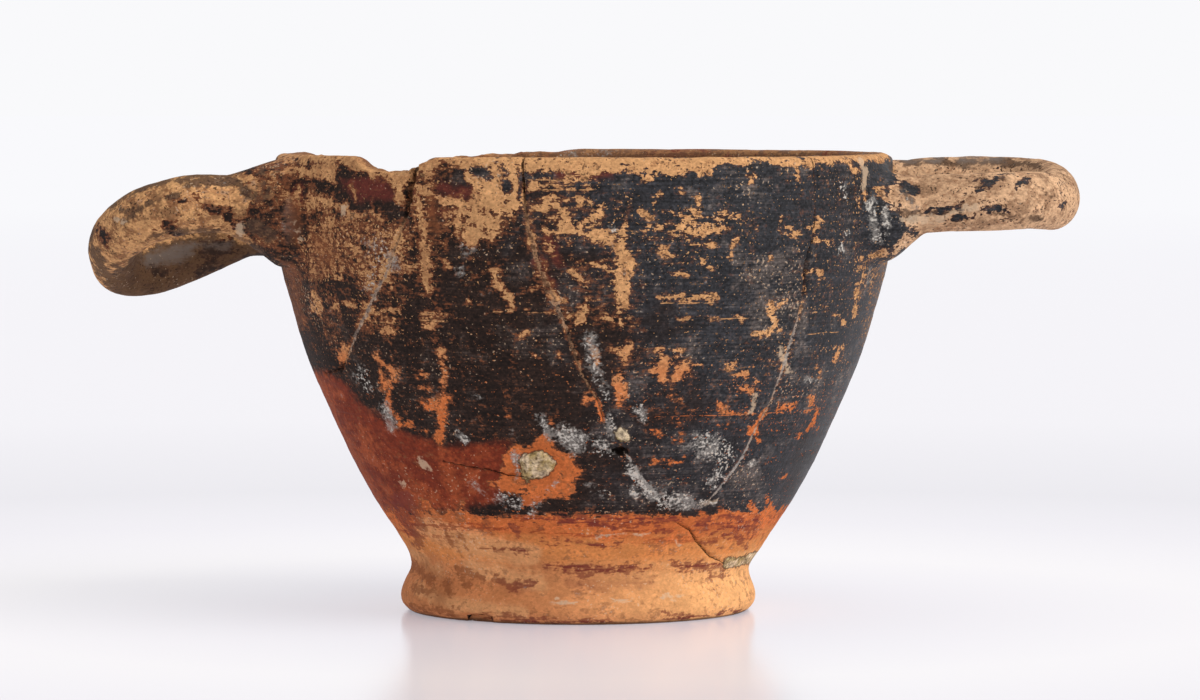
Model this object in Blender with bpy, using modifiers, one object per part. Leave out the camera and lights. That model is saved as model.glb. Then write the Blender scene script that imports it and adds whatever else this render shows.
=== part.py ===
"""A two-handled drinking cup of fired clay: a turned bowl on a ring foot, with two loop handles at the rim.

Units are metres, +Z is up, and the cup stands on z = 0. The front, with the chipped rim, faces -Y.
"""

import math

import bmesh
import bpy
from mathutils import Matrix, Vector

MM = 0.001

# Driving dimensions
HEIGHT = 81.6 * MM
RIM_RADIUS = 55.0 * MM
LIP_THICKNESS = 3.6 * MM
LIP_ROUNDING = 1.5 * MM
AXIS_X = 0.1 * MM
FOOT_SHIFT = -1.0 * MM
FOOT_SHIFT_TOP = 12.0 * MM
FOOT_SHIFT_BOTTOM = 5.0 * MM

# The foot: a ring with a bevelled lower edge and a groove where the bowl sits on it
RING_INNER_RADIUS = 24.6 * MM
RING_OUTER_RADIUS = 29.8 * MM
RECESS_DEPTH = 3.4 * MM
RECESS_ROUNDING = 1.4 * MM
FOOT_OUTLINE = [(30.5, 0.4), (31.4, 1.4), (31.7, 2.8), (31.4, 4.3), (30.7, 6.0), (30.2, 7.7)]

# The outside of the bowl from the groove to the lip, as (radius, height)
BOWL_OUTLINE = [
    (30.9, 9.8),
    (33.4, 14.0),
    (37.05, 19.5),
    (41.0, 26.6),
    (45.2, 35.6),
    (49.3, 45.4),
    (52.3, 55.3),
    (54.2, 62.5),
    (54.95, 70.5),
]

# The inside of the bowl from the middle of its floor to the lip, as (radius, height)
CAVITY_OUTLINE = [
    (12.0, 10.7),
    (22.0, 11.9),
    (28.2, 14.8),
    (32.2, 20.0),
    (36.6, 27.6),
    (41.0, 36.4),
    (45.2, 46.2),
    (48.2, 55.8),
    (50.5, 65.0),
]
FLOOR_HEIGHT = 10.5 * MM
CAVITY_TOP = 90.0 * MM

# Each handle's middle line from its front root round to its back root, as (out, across, height)
LEFT_HANDLE = [
    (-38.0, -17.0, 70.6),
    (-48.0, -17.2, 70.8),
    (-53.0, -17.4, 71.8),
    (-60.0, -17.8, 72.7),
    (-69.0, -17.8, 72.7),
    (-77.0, -14.6, 70.6),
    (-82.0, -7.5, 67.4),
    (-84.1, 1.5, 64.4),
    (-83.4, 9.0, 61.0),
    (-77.5, 15.4, 61.0),
    (-69.0, 17.8, 64.1),
    (-60.0, 17.8, 68.3),
    (-53.0, 17.4, 70.6),
    (-48.0, 17.2, 70.8),
    (-38.0, 17.0, 70.8),
]
RIGHT_HANDLE = [
    (38.0, -17.0, 70.2),
    (48.0, -17.2, 70.6),
    (53.0, -17.4, 71.2),
    (60.0, -17.8, 72.8),
    (69.0, -17.8, 73.1),
    (77.5, -14.8, 73.5),
    (82.8, -8.0, 73.2),
    (84.0, 0.5, 74.1),
    (82.6, 8.8, 75.1),
    (77.5, 15.0, 75.4),
    (69.0, 17.8, 75.6),
    (60.0, 17.8, 75.2),
    (53.0, 17.4, 72.8),
    (48.0, 17.2, 71.6),
    (38.0, 17.0, 71.0),
]
HANDLE_HALF_WIDTH = 4.3 * MM
SECTION_STRETCH = 1.18
POINTS_A_SPAN = 3
HANDLE_SIDE_STEPS = 4

# How a handle spreads onto the wall: where the spread starts, and how much thicker it ends
LEFT_SPREAD = (62.6 * MM, 0.98)
RIGHT_SPREAD = (59.6 * MM, 0.70)
SPREAD_END = 52.6 * MM
SPREAD_POWER = 1.25

# Where the rim is broken, as (degrees anticlockwise from +X, height left standing)
FRONT_CHIP = [
    (222.2, 82.6),
    (224.4, 81.1),
    (226.8, 79.6),
    (229.6, 79.1),
    (236.0, 79.1),
    (239.0, 80.4),
    (241.6, 81.4),
    (244.5, 82.4),
]
BACK_BREAK = [
    (88.0, 81.9),
    (95.0, 81.2),
    (104.0, 80.8),
    (116.0, 80.4),
    (121.0, 79.8),
    (127.0, 77.4),
    (134.0, 75.4),
    (141.0, 75.9),
    (146.0, 77.6),
    (150.0, 80.4),
    (158.0, 81.0),
    (165.0, 82.0),
]
BREAK_INNER_RADIUS = 42.0 * MM
BREAK_OUTER_RADIUS = 60.0 * MM
BREAK_TOP = 92.0 * MM
BREAK_DISH = 0.6 * MM

AROUND = 64
SPAN_STEPS = 2
TOLERANCE = 0.00002
RESERVED_TOP = 15.8 * MM

GLOSS_COLOUR = (0.022, 0.019, 0.019, 1.0)
CLAY_COLOUR = (0.48, 0.24, 0.09, 1.0)
GLOSS_ROUGHNESS = 0.45
CLAY_ROUGHNESS = 0.8
GLOSS_SLOT = 0
CLAY_SLOT = 1


def clear_scene():
    for obj in list(bpy.data.objects):
        bpy.data.objects.remove(obj, do_unlink=True)


def new_collection(name):
    collection = bpy.data.collections.new(name)
    bpy.context.scene.collection.children.link(collection)
    return collection


def new_material(name, colour, roughness):
    material = bpy.data.materials.new(name)
    material.use_nodes = True
    shader = material.node_tree.nodes["Principled BSDF"]
    shader.inputs["Base Color"].default_value = colour
    shader.inputs["Roughness"].default_value = roughness
    shader.inputs["Metallic"].default_value = 0.0
    material.diffuse_color = colour
    return material


def smooth_step(low, high, value):
    """0 at low, 1 at high, and an S-shaped rise between them. Low may be the larger."""
    share = min(1.0, max(0.0, (value - low) / (high - low)))
    return share * share * (3.0 - 2.0 * share)


def curve_through(points, steps):
    """A Catmull-Rom curve through the points, with this many steps from each point to the next."""
    knots = [Vector(p) for p in points]
    knots = [2 * knots[0] - knots[1]] + knots + [2 * knots[-1] - knots[-2]]
    made = []
    for i in range(1, len(knots) - 2):
        before, start, end, after = knots[i - 1 : i + 3]
        for step in range(steps):
            t = step / steps
            made.append(
                0.5
                * (
                    2 * start
                    + (end - before) * t
                    + (2 * before - 5 * start + 4 * end - after) * t**2
                    + (3 * start - before - 3 * end + after) * t**3
                )
            )
    made.append(knots[-2])
    return made


def quarter_round(centre, radius, first_degrees, last_degrees, steps):
    """Points on an arc of a profile, both ends included."""
    angles = [first_degrees + (last_degrees - first_degrees) * i / steps for i in range(steps + 1)]
    return [
        Vector((centre[0] + radius * math.cos(math.radians(a)), centre[1] + radius * math.sin(math.radians(a))))
        for a in angles
    ]


def outer_profile():
    """The outside from the middle of the top, down the wall and under the foot to the axis."""
    lip_centre = (RIM_RADIUS - LIP_ROUNDING, HEIGHT - LIP_ROUNDING)
    lip = quarter_round(lip_centre, LIP_ROUNDING, 90.0, 0.0, 3)
    foot_and_bowl = [Vector(p) * MM for p in FOOT_OUTLINE + BOWL_OUTLINE]
    wall = curve_through(foot_and_bowl + [lip[-1]], SPAN_STEPS)[:-1]
    recess_edge = RING_INNER_RADIUS - RECESS_ROUNDING
    recess = quarter_round((recess_edge, RECESS_DEPTH - RECESS_ROUNDING), RECESS_ROUNDING, 0.0, 90.0, 2)
    return (
        [Vector((0.0, HEIGHT))]
        + lip
        + wall[::-1]
        + [Vector((RING_OUTER_RADIUS, 0.0)), Vector((RING_INNER_RADIUS, 0.0))]
        + recess
        + [Vector((0.0, RECESS_DEPTH))]
    )


def cavity_profile():
    """The hollow from above the rim, down the inside of the wall and over the floor to the axis."""
    inner_radius = RIM_RADIUS - LIP_THICKNESS
    lip_centre = (inner_radius + LIP_ROUNDING, HEIGHT - LIP_ROUNDING)
    lip = quarter_round(lip_centre, LIP_ROUNDING, 90.0, 180.0, 3)
    floor_middle = Vector((0.0, FLOOR_HEIGHT))
    wall = [floor_middle] + [Vector(p) * MM for p in CAVITY_OUTLINE] + [lip[-1]]
    return (
        [Vector((0.0, CAVITY_TOP)), Vector((lip[0].x, CAVITY_TOP))]
        + lip
        + curve_through(wall, SPAN_STEPS)[::-1][1:]
    )


def mesh_object(name, mesh, collection, materials):
    obj = bpy.data.objects.new(name, mesh)
    collection.objects.link(obj)
    if not mesh.materials:
        for material in materials:
            mesh.materials.append(material)
    return obj


def evaluated_mesh(obj):
    """The object's mesh with its modifiers applied and its seams closed."""
    bpy.context.view_layer.update()
    graph = bpy.context.evaluated_depsgraph_get()
    mesh = bpy.data.meshes.new_from_object(obj.evaluated_get(graph))
    shape = bmesh.new()
    shape.from_mesh(mesh)
    bmesh.ops.remove_doubles(shape, verts=shape.verts, dist=TOLERANCE)
    bmesh.ops.recalc_face_normals(shape, faces=shape.faces)
    shape.to_mesh(mesh)
    shape.free()
    return mesh


def turned_mesh(name, profile, collection):
    """A solid of revolution about the cup's axis, from a profile that starts and ends on it."""
    line = bpy.data.meshes.new(name + "_profile")
    corners = [(p.x, 0.0, p.y) for p in profile]
    line.from_pydata(corners, [(i, i + 1) for i in range(len(corners) - 1)], [])
    obj = mesh_object(name + "_profile", line, collection, [])
    screw = obj.modifiers.new("turn", "SCREW")
    screw.axis = "Z"
    screw.steps = AROUND
    screw.render_steps = AROUND
    screw.use_merge_vertices = True
    screw.merge_threshold = TOLERANCE
    mesh = evaluated_mesh(obj)
    bpy.data.objects.remove(obj, do_unlink=True)
    return mesh


def settle(mesh):
    """Puts the bowl on its axis and lets the foot sit a little to the left of it, as on the cup."""
    for vertex in mesh.vertices:
        share = smooth_step(FOOT_SHIFT_TOP, FOOT_SHIFT_BOTTOM, vertex.co.z)
        vertex.co.x += AXIS_X + FOOT_SHIFT * share


def paint(mesh, slot_of):
    for face in mesh.polygons:
        face.material_index = slot_of(face)


def spread_at(distance_out, spread):
    """How much thicker than its arms the handle is, this far out: it widens in a hollow curve onto the wall."""
    start, gain = spread
    share = min(1.0, max(0.0, (start - distance_out) / (start - SPREAD_END)))
    return 1.0 + gain * share**SPREAD_POWER


def handle_object(name, middle_line, spread, collection, materials):
    """A loop handle of oval section: a round tube on a flattened path, stretched upright."""
    points = [p * MM for p in curve_through(middle_line, POINTS_A_SPAN)]
    curve = bpy.data.curves.new(name, "CURVE")
    curve.dimensions = "3D"
    curve.bevel_depth = HANDLE_HALF_WIDTH
    curve.bevel_resolution = HANDLE_SIDE_STEPS
    curve.use_fill_caps = True
    spline = curve.splines.new("POLY")
    spline.points.add(len(points) - 1)
    for spot, point in zip(spline.points, points):
        spot.co = (point.x, point.y, point.z / SECTION_STRETCH, 1.0)
        spot.radius = spread_at(abs(point.x), spread)
    tube = bpy.data.objects.new(name + "_path", curve)
    collection.objects.link(tube)
    mesh = evaluated_mesh(tube)
    bpy.data.objects.remove(tube, do_unlink=True)
    mesh.transform(Matrix.Diagonal((1.0, 1.0, SECTION_STRETCH, 1.0)))
    obj = mesh_object(name, mesh, collection, materials)
    paint(mesh, lambda face: CLAY_SLOT)
    return obj


def rim_break_object(name, edge, collection, materials):
    """A cutter over a stretch of rim: a fan of upright slabs whose underside follows the broken edge."""
    shape = bmesh.new()
    middle_radius = (BREAK_INNER_RADIUS + BREAK_OUTER_RADIUS) / 2
    columns = []
    for degrees, height in edge:
        turn = math.radians(degrees)
        bottom = height * MM
        corners = [
            (BREAK_INNER_RADIUS, bottom + BREAK_DISH),
            (middle_radius, bottom),
            (BREAK_OUTER_RADIUS, bottom - BREAK_DISH),
            (BREAK_OUTER_RADIUS, BREAK_TOP),
            (BREAK_INNER_RADIUS, BREAK_TOP),
        ]
        columns.append(
            [shape.verts.new((AXIS_X + r * math.cos(turn), r * math.sin(turn), z)) for r, z in corners]
        )
    for first, second in zip(columns, columns[1:]):
        for i in range(len(first)):
            j = (i + 1) % len(first)
            shape.faces.new((first[i], first[j], second[j], second[i]))
    shape.faces.new(columns[0])
    shape.faces.new(columns[-1][::-1])
    bmesh.ops.recalc_face_normals(shape, faces=shape.faces)
    mesh = bpy.data.meshes.new(name)
    shape.to_mesh(mesh)
    shape.free()
    obj = mesh_object(name, mesh, collection, materials)
    paint(mesh, lambda face: CLAY_SLOT)
    return obj


def add_boolean(target, tool, operation):
    modifier = target.modifiers.new(tool.name, "BOOLEAN")
    modifier.operation = operation
    modifier.solver = "EXACT"
    modifier.object = tool
    tool.hide_render = True
    tool.display_type = "WIRE"


def build():
    clear_scene()
    parts = new_collection("skyphos")
    tools = new_collection("tools")
    materials = [
        new_material("black_gloss", GLOSS_COLOUR, GLOSS_ROUGHNESS),
        new_material("reserved_clay", CLAY_COLOUR, CLAY_ROUGHNESS),
    ]

    body_mesh = turned_mesh("body", outer_profile(), tools)
    paint(body_mesh, lambda face: CLAY_SLOT if face.center.z < RESERVED_TOP else GLOSS_SLOT)
    settle(body_mesh)
    cup = mesh_object("skyphos", body_mesh, parts, materials)

    cavity_mesh = turned_mesh("cavity", cavity_profile(), tools)
    settle(cavity_mesh)
    cavity = mesh_object("cavity", cavity_mesh, tools, materials)

    left_handle = handle_object("left_handle", LEFT_HANDLE, LEFT_SPREAD, tools, materials)
    right_handle = handle_object("right_handle", RIGHT_HANDLE, RIGHT_SPREAD, tools, materials)
    add_boolean(cup, left_handle, "UNION")
    add_boolean(cup, right_handle, "UNION")
    add_boolean(cup, cavity, "DIFFERENCE")
    add_boolean(cup, rim_break_object("front_chip", FRONT_CHIP, tools, materials), "DIFFERENCE")
    add_boolean(cup, rim_break_object("back_break", BACK_BREAK, tools, materials), "DIFFERENCE")

    cup.data.shade_smooth()
    cup.data.set_sharp_from_angle(angle=math.radians(40.0))


build()
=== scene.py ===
"""The looks of a two-handled drinking cup of black-glazed clay, made round the frame of its CAD model.

The scene is in metres with +Z up. The cup's own sizes below are in millimetres, as are all point arrays,
until a mesh is made. Pixels are those of the photograph's 1200 x 700 frame.
"""

import math

import bmesh
import bpy
import numpy as np
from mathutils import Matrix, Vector, kdtree, noise


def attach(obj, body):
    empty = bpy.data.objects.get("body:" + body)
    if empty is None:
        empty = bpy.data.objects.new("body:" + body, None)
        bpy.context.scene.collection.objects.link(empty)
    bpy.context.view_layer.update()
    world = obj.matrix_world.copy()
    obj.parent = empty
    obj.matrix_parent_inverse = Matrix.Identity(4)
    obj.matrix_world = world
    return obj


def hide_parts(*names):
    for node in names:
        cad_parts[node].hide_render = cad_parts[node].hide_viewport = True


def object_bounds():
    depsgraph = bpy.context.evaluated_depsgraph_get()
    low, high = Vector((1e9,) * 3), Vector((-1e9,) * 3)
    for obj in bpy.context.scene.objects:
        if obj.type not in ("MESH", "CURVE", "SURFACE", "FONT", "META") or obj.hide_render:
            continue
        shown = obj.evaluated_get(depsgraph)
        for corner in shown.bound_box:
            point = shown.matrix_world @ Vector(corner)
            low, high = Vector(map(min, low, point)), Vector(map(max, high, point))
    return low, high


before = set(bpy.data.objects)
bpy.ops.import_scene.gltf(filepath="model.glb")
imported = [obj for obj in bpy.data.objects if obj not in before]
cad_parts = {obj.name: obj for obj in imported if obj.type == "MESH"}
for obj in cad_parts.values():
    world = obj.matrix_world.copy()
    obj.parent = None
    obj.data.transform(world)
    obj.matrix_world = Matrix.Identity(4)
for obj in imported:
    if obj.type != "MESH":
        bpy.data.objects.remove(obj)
CAD_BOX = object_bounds()

MM = 0.001

# The cup's driving sizes, the same as in the CAD model
HEIGHT = 81.6
RIM_RADIUS = 55.0
LIP_THICKNESS = 3.6
LIP_ROUNDING = 1.5
AXIS_X = 0.1
FOOT_SHIFT = -1.0
FOOT_SHIFT_TOP = 12.0
FOOT_SHIFT_BOTTOM = 5.0
FLOOR_HEIGHT = 10.5

# The foot ring, as radii and heights
RING_INNER_RADIUS = 24.6
RING_OUTER_RADIUS = 29.8
RECESS_DEPTH = 3.4
RECESS_ROUNDING = 1.4
FOOT_OUTLINE = [(30.5, 0.4), (31.4, 1.4), (31.7, 2.8), (31.4, 4.3), (30.7, 6.0), (30.2, 7.7)]

# The outside of the bowl from the groove to the lip, as (radius, height)
BOWL_OUTLINE = [
    (30.9, 9.8), (33.4, 14.0), (37.05, 19.5), (41.0, 26.6), (45.2, 35.6), (49.3, 45.4), (52.3, 55.3),
    (54.2, 62.5), (54.95, 70.5),
]

# The inside of the bowl from the middle of its floor to the lip, as (radius, height)
CAVITY_OUTLINE = [
    (12.0, 10.7), (22.0, 11.9), (28.2, 14.8), (32.2, 20.0), (36.6, 27.6), (41.0, 36.4), (45.2, 46.2),
    (48.2, 55.8), (50.5, 65.0),
]

# Each handle's middle line from its front root round to its back root, as (out, across, height)
LEFT_HANDLE = [
    (-48.0, -17.2, 70.8), (-53.0, -17.4, 71.8), (-60.0, -17.8, 72.7), (-69.0, -17.8, 72.7),
    (-77.0, -14.6, 70.6), (-82.0, -7.5, 67.4), (-84.1, 1.5, 64.4), (-83.4, 9.0, 61.0), (-77.5, 15.4, 61.0),
    (-69.0, 17.8, 64.1), (-60.0, 17.8, 68.3), (-53.0, 17.4, 70.6), (-48.0, 17.2, 70.8),
]
RIGHT_HANDLE = [
    (48.0, -17.2, 70.6), (53.0, -17.4, 71.2), (60.0, -17.8, 72.8), (69.0, -17.8, 73.1), (77.5, -14.8, 73.5),
    (82.8, -8.0, 73.2), (84.0, 0.5, 74.1), (82.6, 8.8, 75.1), (77.5, 15.0, 75.4), (69.0, 17.8, 75.6),
    (60.0, 17.8, 75.2), (53.0, 17.4, 72.8), (48.0, 17.2, 71.6),
]

# A handle's section is a little taller than wide. Towards the wall it thickens, from this far out and by
# this share. It stays this far under the lip, and inside the wall each ring starts this much further out
HANDLE_HALF_WIDTH = 4.3
SECTION_STRETCH = 1.18
LEFT_SPREAD = (62.6, 0.98)
RIGHT_SPREAD = (59.6, 0.70)
SPREAD_END = 52.6
SPREAD_POWER = 1.25
BELOW_LIP = 0.35
ROOT_STEP = 0.15

# Where the rim is broken or worn down, as (degrees anticlockwise from +X, height left standing)
FRONT_CHIP = [
    (222.2, 82.6), (224.4, 81.1), (226.8, 79.6), (229.6, 79.1), (236.0, 79.1), (239.0, 80.4), (241.6, 81.4),
    (244.5, 82.4),
]
BACK_BREAK = [
    (88.0, 81.9), (95.0, 81.2), (104.0, 80.8), (116.0, 80.4), (121.0, 79.8), (127.0, 77.4), (134.0, 75.4),
    (141.0, 75.9), (146.0, 77.6), (150.0, 80.4), (158.0, 81.0), (165.0, 82.0),
]
BREAK_ROUNDING = 0.35

# The lip slopes down to the handles from this far out, by this much a millimetre
BEVEL_START = 53.4
BEVEL_END = 55.6
BEVEL_SLOPE = 0.55

# How finely the surface is made. Flat rings within a radius have the columns divided by a number
COLUMNS = 400
HALF_COLUMNS = COLUMNS // 2
FEWER_COLUMNS = [(3.0, 16), (7.0, 8), (15.0, 4)]
CROWDING = 0.48
ROW_STEP = 0.68
INNER_STEP = 1.5
INNER_RIM_ROWS = 10
CURVE_STEPS = 12
HANDLE_SIDES = 46
HANDLE_STEP = 0.7
REFINE_MARGIN = 1.0
SIGHT_ROUNDS = 40

# From this height up, the rows of the wall follow the broken rim
RIM_ZONE = 66.0

# How far the clay that fills the handles' corners reaches, and how strongly the smoothing pulls it
CORNER_REACH = 5.0
CORNER_ROUNDS = 60
CORNER_PULL = 0.6
INWARD_SHARE = 0.12

# A distance in mm that stands for too far to matter
FAR_OFF = 99.0

# Below this height the inner side of the foot is its underside, and above it the inner side is the bowl's
UNDERSIDE_TOP = 7.0

# A place counts as a handle from this far off the wall, in part and then wholly, and above this height
HANDLE_START = (0.8, 4.0)
HANDLE_LOWEST = 40.0

# A surface goes from hidden to seen between these cosines to the camera, both just round the edge
TURNED_TO_CAMERA = (-0.22, -0.06)

# Which stretch of the noise the cup's unevenness takes
NOISE_START = (17.3, 5.1, 9.7)

# The camera of the photograph
PICTURE_WIDTH = 1200
PICTURE_HEIGHT = 700
CAMERA_PLACE = (2.95, -1000.0, 95.5)
CAMERA_DIP = math.radians(2.813)
CAMERA_LENS = 168.18
SENSOR_WIDTH = 36.0
FOCAL_PIXELS = CAMERA_LENS / SENSOR_WIDTH * PICTURE_WIDTH
NEAREST_SEEN = 0.05
FARTHEST_SEEN = 30.0

# The sun lamps, as (strength, width, azimuth, height in degrees, colour). Azimuth is anticlockwise from +X
KEY_SUN = (2.0, 50.0, -28.0, 36.0, (1.0, 0.98, 0.95))
FILL_SUN = (0.25, 80.0, -135.0, 35.0, (0.97, 0.98, 1.0))
TOP_SUN = (0.4, 70.0, 60.0, 68.0, (1.0, 0.99, 1.0))
WORLD_TINT = (1.0, 0.99, 1.0, 1.0)
WORLD_LIGHT = 0.54
HORIZON_LIGHT = 0.95
HORIZON_RISE = (0.06, 0.26)
WORLD_SEEN = (249, 249, 251)

# The table's tint by its distance from the cup in metres, as 8-bit screen values. The first, bluish and
# darker than the next, is painted shade round the cup's foot.
TABLE_TINTS = [
    (0.00, (244, 242, 255)), (0.12, (254, 252, 255)), (0.20, (240, 238, 245)), (0.29, (229, 228, 235)),
    (0.55, (241, 240, 246)), (1.20, (243, 242, 247)), (3.00, (249, 249, 252)),
]
TABLE_RADIUS = 12.0
TABLE_SIDES = 96
TABLE_REACH = 3.0
TABLE_ROUGHNESS = 0.17
TABLE_SPECULAR = 0.9
TABLE_SHEEN_TINT = (236, 238, 255)

# The table glows this much beside the cup, and wholly from the second distance on
TABLE_GLOW = 0.30
GLOW_RISE = (0.3, 2.4)

# The cup's shine, and how sure bare clay is inside a flake
GLOSS_SPECULAR = 0.12
BARE_LEVEL = 0.81

# The noise fields of the cup's finish, as scales per millimetre along x, y and z, then detail and roughness
NOISE_FIELDS = {
    "grain": ((1.7, 1.7, 1.9), 1.0, 0.7),
    "mottle": ((0.22, 0.22, 0.26), 5.0, 0.62),
    "clouds": ((0.06, 0.06, 0.08), 4.0, 0.55),
    "ragged": ((0.62, 0.62, 0.80), 2.0, 0.80),
    "crumbs": ((1.2, 1.2, 1.5), 2.0, 0.70),
    "lines": ((0.09, 0.09, 2.6), 1.0, 0.7),
    "dashes": ((0.32, 0.32, 1.9), 2.0, 0.70),
    "bands": ((0.05, 0.05, 0.8), 4.0, 0.65),
    "blotches": ((0.31, 0.31, 0.36), 5.0, 0.65),
    "columns": ((0.42, 0.42, 0.05), 2.0, 0.5),
    "specks": ((2.1, 2.1, 2.5), 1.0, 0.5),
}

# The palette, as 8-bit screen values
TAN = (200, 150, 102)
ORANGE = (198, 108, 58)
GOLD = (208, 134, 76)
RUST = (138, 58, 34)
BUFF_CLAY = (212, 156, 106)
# The foot's clay: brown with painted shade on its left side, yellow with painted light on its right side
FOOT_BROWN_IN_SHADE = (192, 124, 80)
FOOT_YELLOW_IN_LIGHT = (230, 174, 116)
HANDLE_OCHRE = (204, 154, 104)
HANDLE_TAN = (202, 162, 126)
HANDLE_BROWN = (112, 76, 54)
STAIN_BROWN = (140, 92, 60)
# Dark dirt, also used as painted shade along the foot's bottom edge
DARK_DIRT_AND_SHADE = (58, 42, 33)
SOOT_AND_SHADE_DARK = (62, 46, 38)
SOOT_AND_SHADE_BROWN = (100, 76, 58)
ASH_AND_SHEEN_GREY = (116, 104, 96)
BLUE_BLACK = (45, 45, 48)
BROWN_BLACK = (42, 30, 25)
GREY_HAZE_AND_SHEEN = (94, 84, 78)
WORN_BROWN = (122, 72, 46)
DEEP_RED = (120, 48, 28)
RED_ORANGE = (164, 80, 44)
PURPLE_BROWN = (96, 44, 36)
STREAK_RED = (112, 48, 42)
SMEAR_BROWN = (136, 80, 48)
INNER_BROWN = (128, 88, 60)
LIME_GREY = (156, 150, 143)
LIME_WHITE = (208, 201, 191)
PALE_CLAY_AND_GLINT = (204, 176, 146)
LUMP_YELLOW = (156, 136, 92)
LUMP_WHITE = (198, 178, 148)
JOIN_TAN = (172, 132, 98)
JOIN_BROWN = (112, 82, 60)
HOLE_DARK = (24, 15, 11)

# Joins and cracks that show from the front, from the rim down, in pixels. Each point has the join's width in
# mm and what fills it there: 0 is an open gap, 1 is broken clay and 2 is pale lime
FRONT_JOINS = [
    [(414, 168, 0.7, 0.0), (411, 180, 1.15, 0.0), (408, 196, 1.1, 0.0), (406, 212, 0.7, 0.1),
     (403, 222, 0.4, 0.6), (396, 245, 0.6, 1.2), (386, 273, 0.7, 1.5), (368, 309, 0.8, 1.5),
     (350, 349, 0.7, 1.4), (342, 368, 0.4, 0.4)],
    [(522, 148, 0.25, 0.0), (523, 180, 0.25, 0.0), (524, 200, 0.4, 0.5), (528, 230, 0.6, 1.0),
     (538, 262, 0.8, 1.0), (548, 290, 0.9, 1.1), (558, 308, 0.8, 1.3), (568, 334, 0.6, 1.2),
     (581, 373, 0.4, 1.0), (599, 404, 0.35, 0.8), (603, 419, 0.2, 0.6)],
    [(814, 148, 0.16, 0.0), (816, 189, 0.16, 0.1), (814, 237, 0.2, 0.2), (808, 256, 0.3, 0.0),
     (806, 270, 0.8, 0.0), (805, 284, 0.4, 0.0), (803, 300, 0.2, 0.5), (798, 318, 0.4, 1.5),
     (790, 345, 0.8, 1.7), (785, 363, 0.8, 1.7), (779, 380, 0.45, 1.6), (770, 404, 0.3, 1.4),
     (757, 427, 0.3, 1.4), (742, 458, 0.5, 1.8), (724, 483, 0.5, 1.8), (709, 501, 0.3, 1.5)],
    [(622, 448, 0.3, 1.2), (629, 458, 0.45, 1.8), (642, 480, 0.6, 1.9), (655, 493, 0.7, 2.0),
     (669, 509, 0.3, 1.6)],
    [(679, 524, 0.14, 0.0), (690, 530, 0.22, 0.0), (696, 541, 0.24, 0.0), (709, 556, 0.24, 0.0),
     (724, 563, 0.12, 0.0)],
    [(446, 462, 0.12, 0.3), (470, 467, 0.14, 0.2), (490, 470, 0.18, 0.1), (508, 475, 0.24, 0.0),
     (532, 478, 0.2, 0.0)],
    [(342, 367, 0.25, 0.0), (336, 371, 0.22, 0.1), (326, 373, 0.14, 0.2)],
]

# Joins round the back, as (degrees, height, width, filling)
BACK_JOINS = [
    [(133.0, 77.0, 0.4, 0.2), (128.0, 62.0, 0.35, 0.9), (121.0, 44.0, 0.5, 1.6), (112.0, 29.0, 0.3, 1.2),
     (104.0, 21.0, 0.2, 1.0)],
    [(61.0, 83.0, 0.25, 0.0), (66.0, 66.0, 0.3, 0.3), (64.0, 52.0, 0.5, 1.4), (73.0, 38.0, 0.4, 1.8),
     (81.0, 27.0, 0.2, 1.2)],
]

# How far the left side of each join stands proud of its right side, in mm
JOIN_STEPS = [-0.12, 0.08, -0.05, 0.03, 0.02, 0.02, 0.0, 0.07, -0.05]

# The photograph's scale at the cup, and how far round a stroke or outline its depth is worked out, in pixels
PIXELS_A_MM = 5.606
FAR_PIXELS = 60.0
REACH_PIXELS = 12.0

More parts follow.
